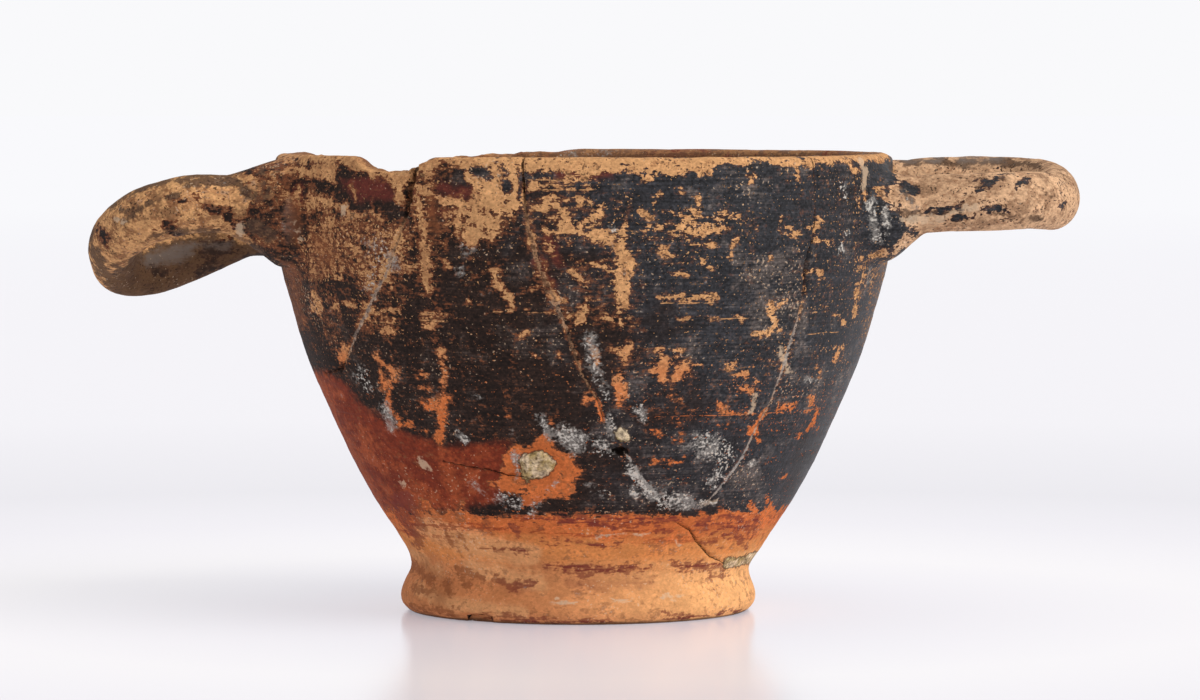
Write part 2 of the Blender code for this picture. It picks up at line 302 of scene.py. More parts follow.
# Bare clay where the gloss has come off the front: strokes, as a half width and the pixels of its middle line
FLAKES = [
    # left of the left join
    (4, (300, 170), (315, 173), (333, 172)), (3, (328, 178), (336, 181)),
    (2.2, (300, 179), (298, 194), (292, 204)), (2.6, (352, 189), (354, 197)),
    (6, (397, 176), (401, 188), (399, 199)), (3, (408, 172), (411, 180)),
    (4, (310, 203), (322, 201), (336, 206)), (4, (344, 206), (349, 215)), (2, (350, 214), (378, 215)),
    (4, (352, 246), (356, 252)), (5, (337, 276), (338, 279)), (4, (314, 296), (322, 309)),
    (3, (312, 307), (318, 314)), (2.5, (333, 305), (355, 305)), (2.5, (372, 310), (398, 312)),
    (2.5, (372, 322), (398, 320)), (3.5, (382, 329), (392, 332)), (3, (390, 283), (392, 288)),
    (4.5, (343, 345), (341, 360)),
    # between the left join and the middle one
    (2.5, (440, 158), (462, 157), (480, 158)), (5, (424, 166), (434, 160)), (6, (424, 172), (430, 168)),
    (4, (421, 190), (440, 199), (462, 205)), (4, (418, 200), (421, 222)),
    (3.4, (423, 226), (426, 246), (427, 268), (428, 292)), (2, (408, 264), (430, 265)),
    (2, (408, 269), (430, 270)), (4, (445, 264), (450, 267)), (4.5, (424, 325), (432, 325)),
    (2, (420, 313), (447, 313)), (2, (442, 347), (442, 362)), (4, (495, 270), (498, 280)),
    (5, (499, 285), (506, 295), (512, 307)), (2.6, (522, 291), (540, 290)), (1.0, (489, 311), (553, 312)),
    (3, (519, 335), (527, 333)), (3, (466, 300), (478, 303)),
    # from the middle join to the column of bare clay
    (3, (526, 158), (560, 160), (600, 158), (640, 160)), (1.2, (526, 184), (586, 184)),
    (1.2, (528, 189), (590, 190)), (3, (566, 176), (592, 176)), (2.5, (543, 232), (580, 233), (612, 233)),
    (5, (592, 236), (610, 240), (622, 236)), (5, (622, 236), (626, 228)), (2, (566, 240), (570, 252)),
    (6, (574, 273), (578, 280)), (2, (570, 258), (583, 260)), (4, (587, 303), (582, 315), (578, 326)),
    (3, (590, 262), (610, 270)), (3, (552, 298), (566, 300)), (4, (549, 245), (552, 254)),
    (3, (580, 198), (590, 201)), (3.5, (586, 222), (598, 214)), (2.6, (618, 312), (621, 330)),
    (3, (608, 318), (614, 328)),
    # from the column to the right join
    (5.5, (645, 181), (651, 176)), (4.2, (660, 194), (655, 202)), (1.5, (655, 203), (652, 218), (645, 233)),
    (2.6, (663, 211), (678, 213), (692, 212)), (3.6, (692, 212), (699, 206), (700, 196)),
    (1.4, (673, 188), (678, 194), (684, 189), (680, 187)), (4, (643, 211), (646, 218)),
    (3.4, (719, 213), (734, 216), (743, 221)), (2.4, (681, 221), (700, 218), (719, 218)),
    (3.2, (645, 228), (666, 226), (688, 229), (708, 227)), (3.4, (686, 234), (716, 231)),
    (3.4, (690, 246), (714, 246)), (2, (645, 239), (658, 238)), (3.8, (660, 249), (671, 256)),
    (3, (703, 262), (713, 268)), (3, (670, 273), (684, 273)), (2.4, (737, 238), (733, 247), (728, 258)),
    (2.5, (783, 219), (778, 231)), (2.5, (789, 229), (798, 233)), (1.6, (770, 246), (770, 262)),
    (2.0, (656, 297), (683, 296)), (2.5, (691, 298), (716, 297)), (1.0, (658, 302), (716, 302)),
    (1.8, (678, 319), (716, 319)), (1.5, (727, 320), (746, 318)), (3.6, (770, 304), (773, 318), (779, 332)),
    (4, (756, 336), (770, 331)), (3, (751, 170), (755, 176)), (3, (750, 176), (754, 183)),
    (3, (795, 172), (797, 180)), (5, (690, 165), (708, 168)), (3, (708, 168), (711, 173)),
    # right of the right join
    (4, (818, 221), (813, 231)), (3.6, (819, 241), (832, 243)), (2, (786, 235), (800, 234)),
    (2.6, (858, 206), (863, 192)), (5, (878, 192), (895, 194)), (2.6, (862, 253), (858, 271)),
    (3.5, (871, 257), (882, 255)), (3, (885, 254), (894, 247)), (2.2, (857, 285), (853, 320)),
    (2.6, (813, 270), (821, 275)), (2.2, (778, 303), (786, 301)), (3.2, (838, 317), (846, 326)),
    (3.4, (839, 346), (836, 360)), (1.5, (819, 368), (820, 378)), (3.4, (812, 398), (815, 412), (813, 426)),
    (3.6, (798, 437), (808, 428)), (4.4, (776, 411), (792, 406)), (3.6, (760, 416), (752, 432)),
    (2, (758, 433), (759, 441)), (2.4, (757, 383), (759, 393)),
    # the lower middle
    (5, (660, 350), (663, 362), (662, 378)), (4.5, (654, 370), (658, 372)), (5.5, (677, 376), (686, 369)),
    (3.5, (675, 350), (682, 350)), (2, (684, 363), (703, 365)), (3, (729, 366), (735, 363)),
    (4, (740, 374), (747, 374)), (3.6, (738, 391), (749, 389)), (2.2, (669, 397), (678, 397)),
    (3, (721, 403), (725, 412)), (2.2, (733, 412), (743, 411)), (3.6, (675, 424), (681, 427)),
    (3, (652, 431), (660, 436)), (3, (674, 440), (679, 439)), (2.2, (719, 427), (727, 427)),
    (2.8, (650, 461), (668, 463), (686, 460)), (2, (782, 477), (787, 477)), (1.6, (764, 477), (766, 477)),
    (6, (618, 378), (621, 390), (617, 401)), (3.5, (626, 390), (626, 394)),
    (0.6, (660, 412), (700, 412), (760, 412), (823, 412)),
    # the lower left
    (5, (376, 358), (384, 364), (395, 373)), (5.5, (393, 376), (391, 386)),
    (4, (379, 372), (387, 390), (389, 404)), (3.5, (385, 403), (393, 412), (400, 422)),
    (4.5, (401, 424), (411, 427)), (4, (420, 373), (422, 376)), (3, (441, 349), (443, 362)),
    (4.4, (443, 364), (446, 377)), (1.6, (419, 388), (430, 388)), (3, (441, 383), (445, 386)),
    (6, (422, 404), (430, 406)), (6, (446, 398), (441, 410), (442, 424), (439, 440)),
    (2, (424, 427), (426, 430)), (3, (559, 356), (560, 358)), (3, (508, 413), (510, 413)),
    (3, (550, 420), (551, 424)), (3, (533, 353), (538, 357)), (3, (588, 340), (594, 352), (598, 366)),
    (3.5, (584, 398), (590, 402)), (3.5, (600, 402), (602, 420)),
    # rising from the edge of the gloss
    (4, (724, 508), (730, 514)), (5, (748, 506), (760, 514)), (4, (768, 500), (772, 512)),
    (3.5, (459, 512), (462, 505)), (4.5, (424, 502), (428, 514)),
]

# Fine level scratches round the front, as left end, right end and height in pixels, and thickness in mm.
# The first list bares the clay, the second is pale and the third is dark red dilute gloss. All of the pale
# list but its first line lie on the foot and are painted glints.
SCRATCHES = [
    (524, 596, 180, 0.20), (526, 592, 185, 0.24), (530, 596, 190, 0.20), (402, 436, 264, 0.26),
    (404, 434, 270, 0.26), (368, 402, 311, 0.34), (370, 402, 323, 0.34), (418, 450, 314, 0.26),
    (418, 450, 321, 0.30), (655, 718, 297, 0.36), (657, 716, 303, 0.18), (676, 750, 319, 0.26),
    (489, 555, 312, 0.16), (540, 640, 232, 0.30), (652, 826, 412, 0.14), (806, 840, 333, 0.16),
    (786, 806, 235, 0.26),
]
PALE_SCRATCHES_AND_GLINTS = [
    (597, 652, 534, 0.20), (664, 690, 597, 0.50), (548, 584, 603, 0.50), (610, 634, 601, 0.40),
]
RED_SCRATCHES = [
    (543, 654, 566, 0.50), (560, 650, 570, 0.60), (676, 724, 565, 0.55), (520, 680, 518, 0.40),
    (552, 660, 522, 0.34), (690, 764, 522, 0.50), (700, 756, 528, 0.36), (540, 622, 545, 0.30),
    (470, 530, 549, 0.34), (480, 620, 620, 0.40), (656, 744, 615, 0.44), (408, 462, 610, 0.50),
]

# Larger bare places on the front, as closed outlines
FLAKE_OUTLINES = [
    [(462, 163), (490, 160), (520, 160), (522, 214), (509, 217), (484, 209), (466, 207), (477, 194),
     (464, 181)],
    [(450, 213), (470, 209), (498, 216), (498, 239), (480, 242), (462, 240), (455, 228)],
    [(535, 207), (543, 198), (553, 194), (566, 196), (589, 194), (592, 203), (579, 204), (571, 199),
     (564, 206), (571, 214), (573, 226), (588, 223), (594, 212), (603, 204), (604, 214), (596, 223),
     (579, 232), (563, 231), (553, 222), (541, 215)],
    [(614, 228), (629, 226), (630, 244), (633, 268), (632, 284), (628, 290), (627, 305), (618, 306),
     (614, 291), (611, 270), (616, 256), (612, 241)],
    [(608, 349), (620, 347), (632, 342), (631, 355), (626, 365), (619, 358), (611, 354)],
    [(502, 455), (515, 445), (525, 447), (538, 437), (545, 430), (552, 437), (561, 452), (573, 453),
     (583, 468), (581, 483), (571, 501), (558, 498), (553, 501), (534, 505), (522, 511), (520, 496),
     (502, 493), (487, 488), (484, 483), (500, 477)],
    [(384, 172), (400, 170), (409, 173), (410, 184), (405, 196), (401, 206), (396, 200), (392, 186)],
    [(294, 168), (310, 165), (338, 168), (338, 178), (330, 184), (318, 178), (300, 178)],
]

# Gloss that is left on bare clay
LEFT_ON = [
    (5.5, (477, 170), (486, 173)), (4.5, (500, 166), (503, 171)), (4, (504, 184), (506, 186)),
    (2.5, (446, 166), (458, 170)), (4, (448, 174), (460, 176)), (3.5, (553, 212), (553, 215)),
    (2.4, (561, 198), (562, 200)), (4, (533, 218), (538, 219)), (1.6, (500, 207), (503, 204)),
    (2.2, (316, 196), (322, 190)), (1.8, (452, 216), (468, 221)), (1.5, (474, 212), (496, 214)),
    (2.2, (485, 233), (494, 226)), (1.6, (450, 226), (459, 232)), (1.3, (466, 229), (476, 228)),
    # on the left handle
    (4.4, (101, 231), (105, 238)), (1.2, (172, 198), (184, 201), (192, 198)), (3.2, (227, 212), (230, 218)),
    (0.8, (206, 208), (222, 210)), (2.4, (164, 224), (172, 228)), (1.6, (172, 232), (178, 234)),
    (1.8, (244, 186), (248, 196)), (4.5, (208, 250), (228, 247)), (4.0, (200, 271), (214, 266)),
    (2.0, (150, 268), (168, 272)),
    # on the right handle
    (0.5, (976, 190), (1002, 178)), (1.2, (1018, 182), (1028, 178)), (2.2, (902, 188), (914, 189)),
    (3, (901, 229), (913, 231)), (0.6, (919, 210), (945, 212), (957, 205)), (2.0, (986, 208), (1002, 209)),
    (1.2, (957, 217), (966, 220)), (1.4, (1061, 203), (1062, 203)),
    # on the wall beside the right handle
    (6, (882, 174), (888, 181)), (5, (882, 208), (892, 232)),
]

# How much fine wear there is, as soft-edged boxes: left, top, right, bottom, share of bare clay. The box from
# 856 across, at the bowl's right edge, is partly painted sheen that lightens the edge.
WORN = [
    (246, 150, 300, 212, 0.52), (240, 205, 292, 252, 0.44), (284, 150, 400, 168, 0.66),
    (290, 184, 345, 215, 0.56), (300, 212, 412, 285, 0.53), (292, 285, 345, 345, 0.38),
    (345, 285, 412, 335, 0.33), (404, 160, 440, 300, 0.46), (436, 154, 522, 168, 0.62),
    (440, 196, 522, 245, 0.5), (440, 245, 525, 300, 0.24), (520, 280, 548, 300, 0.34),
    (415, 300, 450, 330, 0.36), (436, 380, 452, 445, 0.34), (522, 152, 650, 171, 0.78),
    (640, 152, 712, 172, 0.72), (700, 152, 800, 164, 0.8), (795, 152, 862, 166, 0.78),
    (526, 172, 612, 196, 0.46), (530, 195, 612, 250, 0.42), (560, 250, 612, 340, 0.32),
    (605, 195, 640, 340, 0.42), (640, 204, 752, 252, 0.38), (640, 252, 725, 285, 0.32),
    (650, 285, 725, 305, 0.3), (600, 335, 700, 425, 0.27), (640, 345, 700, 385, 0.38),
    (700, 330, 870, 440, 0.26), (725, 210, 775, 330, 0.25), (775, 160, 880, 330, 0.29),
    (600, 425, 800, 500, 0.16), (400, 300, 600, 420, 0.12), (856, 250, 900, 430, 0.48),
    (276, 235, 300, 345, 0.40),
]

# How softly those boxes end, across and down in pixels, and how worn the front is outside them
WORN_SOFTNESS = (20.0, 16.0)
PLAIN_WEAR = 0.15

# Red and purple-brown gloss, fired thin or with too much air
RED_OUTLINES = [
    [(290, 370), (326, 372), (346, 384), (358, 400), (384, 422), (413, 436), (443, 446), (504, 442),
     (520, 470), (500, 500), (459, 509), (420, 512), (380, 512), (330, 470), (300, 420)],
    [(343, 180), (362, 175), (380, 178), (392, 186), (394, 198), (372, 202), (352, 198)],
]
RED_STROKES = [
    (5, (438, 187), (455, 192), (473, 192)), (3.4, (426, 209), (450, 212), (480, 206)),
    (3, (412, 188), (420, 196)), (5, (298, 186), (296, 200)), (3, (560, 173), (610, 174)),
    (4, (548, 240), (560, 262)), (4, (540, 262), (552, 288)),
]

# Dilute gloss, smudges and drips on the reserved clay
SMUDGES = [
    (5.5, (396, 500), (406, 520), (420, 542)), (4.5, (404, 494), (414, 512), (424, 530)),
    (2.2, (450, 536), (453, 547)), (2, (459, 534), (469, 549)), (1.6, (496, 549), (526, 551)),
    (1.6, (553, 517), (600, 518), (642, 519)), (2.4, (590, 522), (612, 526)), (2.4, (512, 525), (518, 534)),
    (2, (486, 522), (492, 534)), (1.2, (543, 542), (580, 544), (617, 545)), (1.8, (640, 519), (676, 521)),
    (2, (655, 528), (672, 531)), (2, (698, 520), (712, 522)), (2.2, (722, 517), (742, 520)),
    (2, (728, 526), (746, 528)), (2.4, (714, 533), (728, 537)), (2.6, (734, 532), (745, 546)),
    (2, (704, 541), (716, 544)), (2, (751, 521), (748, 540)), (2, (758, 512), (753, 530)),
    (2.0, (546, 565), (575, 567), (610, 567), (650, 568)), (3.0, (567, 571), (590, 573)),
    (2.4, (596, 569), (612, 572)), (3.0, (622, 572), (640, 571)), (1.2, (640, 568), (652, 569)),
    (2.2, (672, 563), (690, 566)), (2.6, (683, 569), (700, 570)), (3, (700, 566), (722, 568)),
    (3.2, (712, 573), (724, 577)), (1.4, (710, 577), (716, 586)), (3, (457, 569), (484, 578)),
    (2.4, (463, 577), (468, 587)), (3.4, (444, 585), (452, 594)), (3, (494, 580), (514, 586), (533, 582)),
    (4, (408, 562), (430, 580)), (3, (414, 588), (434, 592)), (2.6, (410, 606), (432, 609), (454, 612)),
    (1.6, (486, 613), (512, 616)), (1.8, (518, 619), (553, 621)), (1.5, (580, 620), (610, 620)),
    (2, (664, 614), (691, 616)), (1.8, (716, 613), (741, 613)), (1.4, (560, 519), (660, 519)),
]

# Faint wide smears: dilute gloss on the foot and brown dirt on the wall, then grey on the handles, both ash
# and painted sheen
SMEARS = [
    (7, (570, 583), (600, 586), (648, 582)), (9, (424, 566), (450, 584), (440, 600)),
    (6, (500, 584), (530, 590)), (6, (700, 528), (745, 530)), (5, (590, 524), (640, 524)),
    (7, (424, 512), (460, 520)), (9, (292, 204), (296, 240)), (9, (290, 268), (300, 320)),
    (8, (430, 196), (436, 232)), (10, (318, 240), (330, 262)),
    # grey on the handles: the first two are a painted sheen and a painted glint on the shaded inner face of
    # the left loop, the rest ash
    (9, (150, 259), (168, 256), (188, 251)), (4, (204, 245), (230, 243)), (5, (903, 192), (912, 206)),
    (5, (960, 160), (1000, 160)), (4, (906, 160), (940, 160)),
]

# Lime and other whitish deposits, as strokes: a half width, how thickly it lies, and the middle line
LIME = [
    (13, 0.38, (374, 244), (388, 262)), (7, 0.36, (372, 270), (366, 290)),
    (7, 0.44, (384, 404), (392, 424)), (8, 0.44, (368, 388), (360, 372)), (6, 0.54, (460, 436), (466, 440)),
    (7, 0.30, (462, 250), (484, 254)), (5, 0.34, (458, 268), (462, 276)),
    (13, 0.56, (568, 436), (578, 442)), (6, 0.52, (540, 418), (549, 434)),
    (9, 0.50, (598, 444), (608, 452)), (8, 0.48, (608, 418), (616, 434)),
    (9, 0.40, (588, 340), (592, 356), (600, 380), (606, 396)), (6, 0.52, (638, 408), (644, 420)),
    (16, 0.50, (704, 444), (724, 452)), (8, 0.50, (722, 470), (712, 486)),
    (7, 0.60, (632, 470), (646, 488), (660, 502)), (10, 0.54, (664, 500), (684, 502)),
    (5, 0.46, (632, 488), (636, 494)), (5, 0.5, (702, 502), (712, 504)), (4, 0.46, (807, 380), (815, 382)),
    (4, 0.5, (750, 463), (755, 462)), (10, 0.44, (504, 496), (516, 504)), (6, 0.32, (474, 484), (484, 492)),
    (7, 0.30, (592, 488), (608, 494)), (6, 0.55, (870, 202), (874, 218)), (7, 0.46, (872, 222), (878, 240)),
    (3, 0.55, (843, 184), (846, 196)), (2, 0.55, (849, 231), (843, 243), (839, 257)),
    (4, 0.42, (612, 226), (614, 230)), (3, 0.34, (478, 395), (482, 402)), (7, 0.34, (540, 500), (530, 515)),
    (4, 0.36, (872, 268), (868, 284)), (5, 0.36, (905, 196), (912, 205)), (5, 0.50, (884, 206), (889, 232)),
    (4, 0.56, (516, 456), (518, 474)), (4, 0.38, (556, 482), (546, 490)),
]

# Smooth pale deposits and clay lumps. The last three strokes lie on the foot and are painted glints.
PALE = [
    (2.8, (861, 160), (866, 172), (863, 186)), (4.4, (904, 220), (926, 219)),
    (3, (934, 220), (945, 216), (960, 210), (978, 208)), (2.6, (420, 461), (430, 471)),
    (2, (402, 483), (404, 484)), (2.2, (293, 219), (302, 240)), (2, (344, 207), (343, 215)),
    (2.4, (756, 395), (750, 412)), (2.8, (782, 350), (788, 372)), (4, (241, 226), (240, 232)),
    (3, (117, 220), (123, 222)), (2.6, (702, 504), (714, 502)), (0.9, (597, 537), (620, 534), (650, 533)),
    (1.6, (672, 540), (678, 545)), (1.5, (558, 600), (572, 603)), (1.1, (613, 600), (626, 602)),
    (1.6, (664, 596), (686, 597)),
]

# Buff clay showing through on the foot and above it
BUFF = [
    (14, (430, 528), (470, 544), (530, 556)), (10, (470, 566), (540, 584)),
    (8, (420, 590), (460, 606), (520, 612)), (6, (412, 552), (440, 572)),
]

# Shapes in low relief on the front, as outlines: a lump of lime in its spall, the plug and slot below the
# middle join, and the nick in the foot
LUMP = [
    (518, 461), (524, 454), (534, 451), (541, 450), (549, 455), (557, 461), (555, 470), (547, 477),
    (534, 479), (527, 483), (521, 476),
]
SPALL = [
    (508, 458), (520, 449), (536, 446), (550, 448), (562, 460), (568, 474), (560, 486), (540, 492),
    (522, 490), (510, 478),
]
PLUG = [(614, 430), (620, 427), (628, 431), (631, 438), (626, 443), (616, 439)]
SLOT = [(611, 449), (620, 447), (628, 450), (628, 454), (620, 456), (612, 454)]
FOOT_NICK = [(467, 615), (482, 614), (493, 617), (492, 626), (470, 626)]

# How deep the bare band under the lip is, as (pixel across, millimetres)
RIM_BANDS = [(250, 0.4), (290, 1.4), (420, 1.6), (520, 1.9), (560, 2.3), (640, 2.7), (700, 2.7), (720, 1.3),
             (795, 1.1), (860, 1.4), (880, 1.4), (893, 1.6)]

# Sooty or dirty places on the handles, and painted shade on the left one: the outline is the inner face of
# its back arm in shade, and the strokes along the crease under its front arm paint the shadow there.
SOOT_AND_SHADE_STROKES = [
    (3.4, (104, 210), (130, 192), (160, 183), (190, 178), (240, 174)),
    (2.6, (150, 236), (172, 231), (200, 230), (226, 236)), (3.0, (92, 226), (88, 246), (96, 262)),
    (5.0, (180, 184), (208, 181), (238, 181)), (6.0, (94, 252), (102, 272), (116, 286)),
    (2.4, (120, 214), (132, 208)), (2.0, (204, 208), (220, 209)), (5, (206, 266), (222, 262), (240, 256)),
    (2.0, (174, 233), (197, 232), (223, 237), (256, 243)), (5, (131, 262), (150, 252), (170, 246)),
    (4, (204, 262), (222, 262)), (3, (112, 262), (128, 276)), (3, (118, 226), (150, 204), (180, 194)),
    (4, (243, 190), (262, 200)), (7, (250, 222), (268, 236)), (4, (262, 176), (270, 200)),
    (4, (904, 161), (960, 163), (1000, 162), (1036, 165)), (2.4, (899, 213), (925, 215), (957, 210)),
    (4, (898, 186), (912, 200)), (2.0, (975, 186), (1006, 178)), (3, (1000, 215), (1040, 219)),
    (2.4, (1040, 190), (1056, 196)),
]
PAINTED_SHADE_OUTLINES = [
    [(106, 284), (120, 270), (140, 256), (162, 243), (197, 235), (233, 241), (264, 246), (264, 262),
     (218, 280), (185, 296), (150, 304), (118, 300)],
]

# A greenish crust in the groove above the foot
GREENISH = [(4.6, (727, 563), (738, 562), (748, 559), (756, 556))]

# The gloss ends at this height, a little higher at the front. Its edge turns streaky this far to either side
GLOSS_EDGE = 18.7
EDGE_TILT = 0.033
STREAKY_EDGE = (10.0, 26.0)

# How far the drawn marks and the worn areas stray from their places, in pixels
WOBBLE = 3.2
WEAR_WANDER = 18.0

# How far out the left and the right handle turn bare
HANDLE_ROOTS = (59.0, 54.2)


def smooth_step(low, high, value):
    """0 at low, 1 at high, and an S-shaped rise between them. Low may be the larger."""
    share = np.clip((value - low) / (high - low), 0.0, 1.0)
    return share * share * (3.0 - 2.0 * share)


def curve_through(points):
    """A Catmull-Rom curve through the points, with the same number of steps from each point to the next."""
    knots = np.array(points, float)
    knots = np.vstack([2 * knots[0] - knots[1], knots, 2 * knots[-1] - knots[-2]])
    t = (np.arange(CURVE_STEPS) / CURVE_STEPS)[:, None]
    made = []
    for before, start, end, after in zip(knots, knots[1:], knots[2:], knots[3:]):
        slope = end - before
        bend = 2 * before - 5 * start + 4 * end - after
        twist = 3 * start - before - 3 * end + after
        made.append(0.5 * (2 * start + slope * t + bend * t**2 + twist * t**3))
    made.append(knots[-2:-1])
    return np.vstack(made)


def evenly_spaced(curve, step):
    """Points about this far apart along a curve, both ends included."""
    runs = np.linalg.norm(np.diff(curve, axis=0), axis=1)
    along = np.concatenate([[0.0], np.cumsum(runs)])
    places = np.linspace(0.0, along[-1], max(2, round(along[-1] / step) + 1))
    return np.column_stack([np.interp(places, along, curve[:, i]) for i in range(curve.shape[1])])


LIP_EDGE = HEIGHT - LIP_ROUNDING
OUTSIDE = curve_through(FOOT_OUTLINE + BOWL_OUTLINE + [(RIM_RADIUS, LIP_EDGE)])
INSIDE = curve_through([(0.0, FLOOR_HEIGHT)] + CAVITY_OUTLINE + [(RIM_RADIUS - LIP_THICKNESS, LIP_EDGE)])


def outer_radius(height):
    return np.interp(height, OUTSIDE[:, 1], OUTSIDE[:, 0])


def inner_radius(height):
    return np.interp(height, INSIDE[:, 1], INSIDE[:, 0])


def wall_middle(height):
    """The radius halfway through the wall."""
    return (outer_radius(height) + inner_radius(height)) / 2


def column_angles(count):
    """Angles round the cup, closer together at the front, -Y, than at the back."""
    turn = 2 * math.pi * np.arange(count) / count
    return turn - CROWDING * np.cos(turn)


def rim_height(angle):
    """How high the rim stands at each angle, with its chip and its break."""
    degrees = np.degrees(angle) % 360.0
    height = np.full(len(degrees), HEIGHT)
    for edge in (FRONT_CHIP, BACK_BREAK):
        spots, heights = np.array(edge).T
        height = np.minimum(height, np.interp(degrees, spots, heights, left=HEIGHT, right=HEIGHT))
    return height


def broken(angle):
    """1 where the rim has broken away, 0 where it is whole."""
    return smooth_step(0.1, 0.7, HEIGHT - rim_height(angle))


def settle(points):
    """Puts the bowl on its axis and lets the foot sit a little to the left of it."""
    points[:, 0] += AXIS_X + FOOT_SHIFT * smooth_step(FOOT_SHIFT_TOP, FOOT_SHIFT_BOTTOM, points[:, 2])
    return points


def ring(count, radius, height):
    """One ring of points. Radius and height are numbers, or one number for each column."""
    angle = column_angles(count)
    return np.column_stack([radius * np.cos(angle), radius * np.sin(angle), height + 0.0 * angle])


def columns_at(radius):
    """How many columns a flat ring needs: fewer towards the middle."""
    for limit, share in FEWER_COLUMNS:
        if radius < limit:
            return COLUMNS // share
    return HALF_COLUMNS


def rim_rings():
    """The top of the wall, from the inside over the lip to the outside."""
    angle = column_angles(COLUMNS)
    top = rim_height(angle)
    edge = LIP_ROUNDING + (BREAK_ROUNDING - LIP_ROUNDING) * broken(angle)
    shoulder = top - edge
    inner = inner_radius(shoulder)
    outer = outer_radius(shoulder)
    made = []
    for share in np.linspace(0.0, 1.0, INNER_RIM_ROWS + 1)[:-1]:
        height = RIM_ZONE + (shoulder - RIM_ZONE) * share
        made.append(ring(COLUMNS, inner_radius(height), height))
    for turn in np.radians(np.linspace(0.0, 90.0, 5)):
        made.append(ring(COLUMNS, inner + edge * (1 - math.cos(turn)), shoulder + edge * math.sin(turn)))
    for share in (0.25, 0.5, 0.75):
        made.append(ring(COLUMNS, inner + edge + (outer - inner - 2 * edge) * share, top))
    for turn in np.radians(np.linspace(90.0, 0.0, 6)):
        made.append(ring(COLUMNS, outer - edge * (1 - math.cos(turn)), shoulder + edge * math.sin(turn)))
    rows = round((LIP_EDGE - RIM_ZONE) / ROW_STEP)
    for share in np.linspace(1.0, 0.0, rows + 1)[1:]:
        height = RIM_ZONE + (shoulder - RIM_ZONE) * share
        made.append(ring(COLUMNS, outer_radius(height), height))
    return made


def body_rings():
    """The whole bowl, from the middle of its floor inside to the middle of the recess under its foot."""
    inside = evenly_spaced(INSIDE[INSIDE[:, 1] < RIM_ZONE - 1.0], INNER_STEP)[1:]
    made = [ring(columns_at(radius), radius, height) for radius, height in inside]
    made += rim_rings()
    outside = evenly_spaced(OUTSIDE[OUTSIDE[:, 1] < RIM_ZONE - 0.4], ROW_STEP)[::-1]
    made += [ring(COLUMNS, radius, height) for radius, height in outside]
    made += [ring(COLUMNS, RING_OUTER_RADIUS + out, height) for out, height in ((0.2, 0.1), (-0.3, 0.0))]
    made.append(ring(HALF_COLUMNS, RING_OUTER_RADIUS - 1.6, 0.0))
    for out, height in ((1.6, 0.0), (0.3, 0.0), (0.0, 0.3), (0.0, 1.2)):
        made.append(ring(HALF_COLUMNS, RING_INNER_RADIUS + out, height))
    corner = RING_INNER_RADIUS - RECESS_ROUNDING
    for turn in np.radians(np.linspace(0.0, 90.0, 4)):
        height = RECESS_DEPTH - RECESS_ROUNDING * (1 - math.sin(turn))
        made.append(ring(HALF_COLUMNS, corner + RECESS_ROUNDING * math.cos(turn), height))
    for radius in np.arange(corner - INNER_STEP, INNER_STEP, -INNER_STEP):
        made.append(ring(columns_at(radius), radius, RECESS_DEPTH))
    return made


def stitched(first, second):
    """Faces between two rings of vertex numbers, where one may have half as many as the other."""
    if len(first) < len(second):
        return [face[::-1] for face in stitched(second, first)]
    faces = []
    if len(first) == len(second):
        for i in range(len(first)):
            j = (i + 1) % len(first)
            faces.append((first[i], first[j], second[j], second[i]))
        return faces
    for i in range(len(second)):
        left, middle, right = first[2 * i], first[2 * i + 1], first[(2 * i + 2) % len(first)]
        faces.append((left, middle, second[i]))
        faces.append((middle, right, second[(i + 1) % len(second)], second[i]))
    return faces


def closed_shape(rings, first_middle, last_middle):
    """A closed shape from rings of points, with a middle point at each end."""
    numbers = []
    count = 0
    for points in rings:
        numbers.append(list(range(count, count + len(points))))
        count += len(points)
    faces = []
    for first, second in zip(numbers, numbers[1:]):
        faces += stitched(first, second)
    for end, middle in ((numbers[0], count), (numbers[-1], count + 1)):
        faces += [(end[i], end[(i + 1) % len(end)], middle) for i in range(len(end))]
    return np.vstack(rings + [[first_middle], [last_middle]]), faces


def mesh_from(name, points, faces):
    mesh = bpy.data.meshes.new(name)
    mesh.from_pydata((points * MM).tolist(), [], faces)
    shape = bmesh.new()
    shape.from_mesh(mesh)
    bmesh.ops.recalc_face_normals(shape, faces=shape.faces)
    shape.to_mesh(mesh)
    shape.free()
    return mesh


def mesh_rows(mesh, kind):
    """The co or the normal of each point of the mesh, as rows of three."""
    flat = np.empty(len(mesh.vertices) * 3)
    mesh.vertices.foreach_get(kind, flat)
    return flat.reshape(-1, 3)


def mesh_points(mesh):
    """The mesh's points in millimetres."""
    return mesh_rows(mesh, "co") / MM


def set_mesh_points(mesh, points):
    mesh.vertices.foreach_set("co", (points * MM).astype(np.float32).ravel())
    mesh.update()


def photo_pixels(points):
    """Where the camera sees each point."""
    away = points - np.array(CAMERA_PLACE)
    depth = away[:, 1] * math.cos(CAMERA_DIP) - away[:, 2] * math.sin(CAMERA_DIP)
    rise = away[:, 1] * math.sin(CAMERA_DIP) + away[:, 2] * math.cos(CAMERA_DIP)
    across = PICTURE_WIDTH / 2 + FOCAL_PIXELS * away[:, 0] / depth
    down = PICTURE_HEIGHT / 2 - FOCAL_PIXELS * rise / depth
    return np.column_stack([across, down])


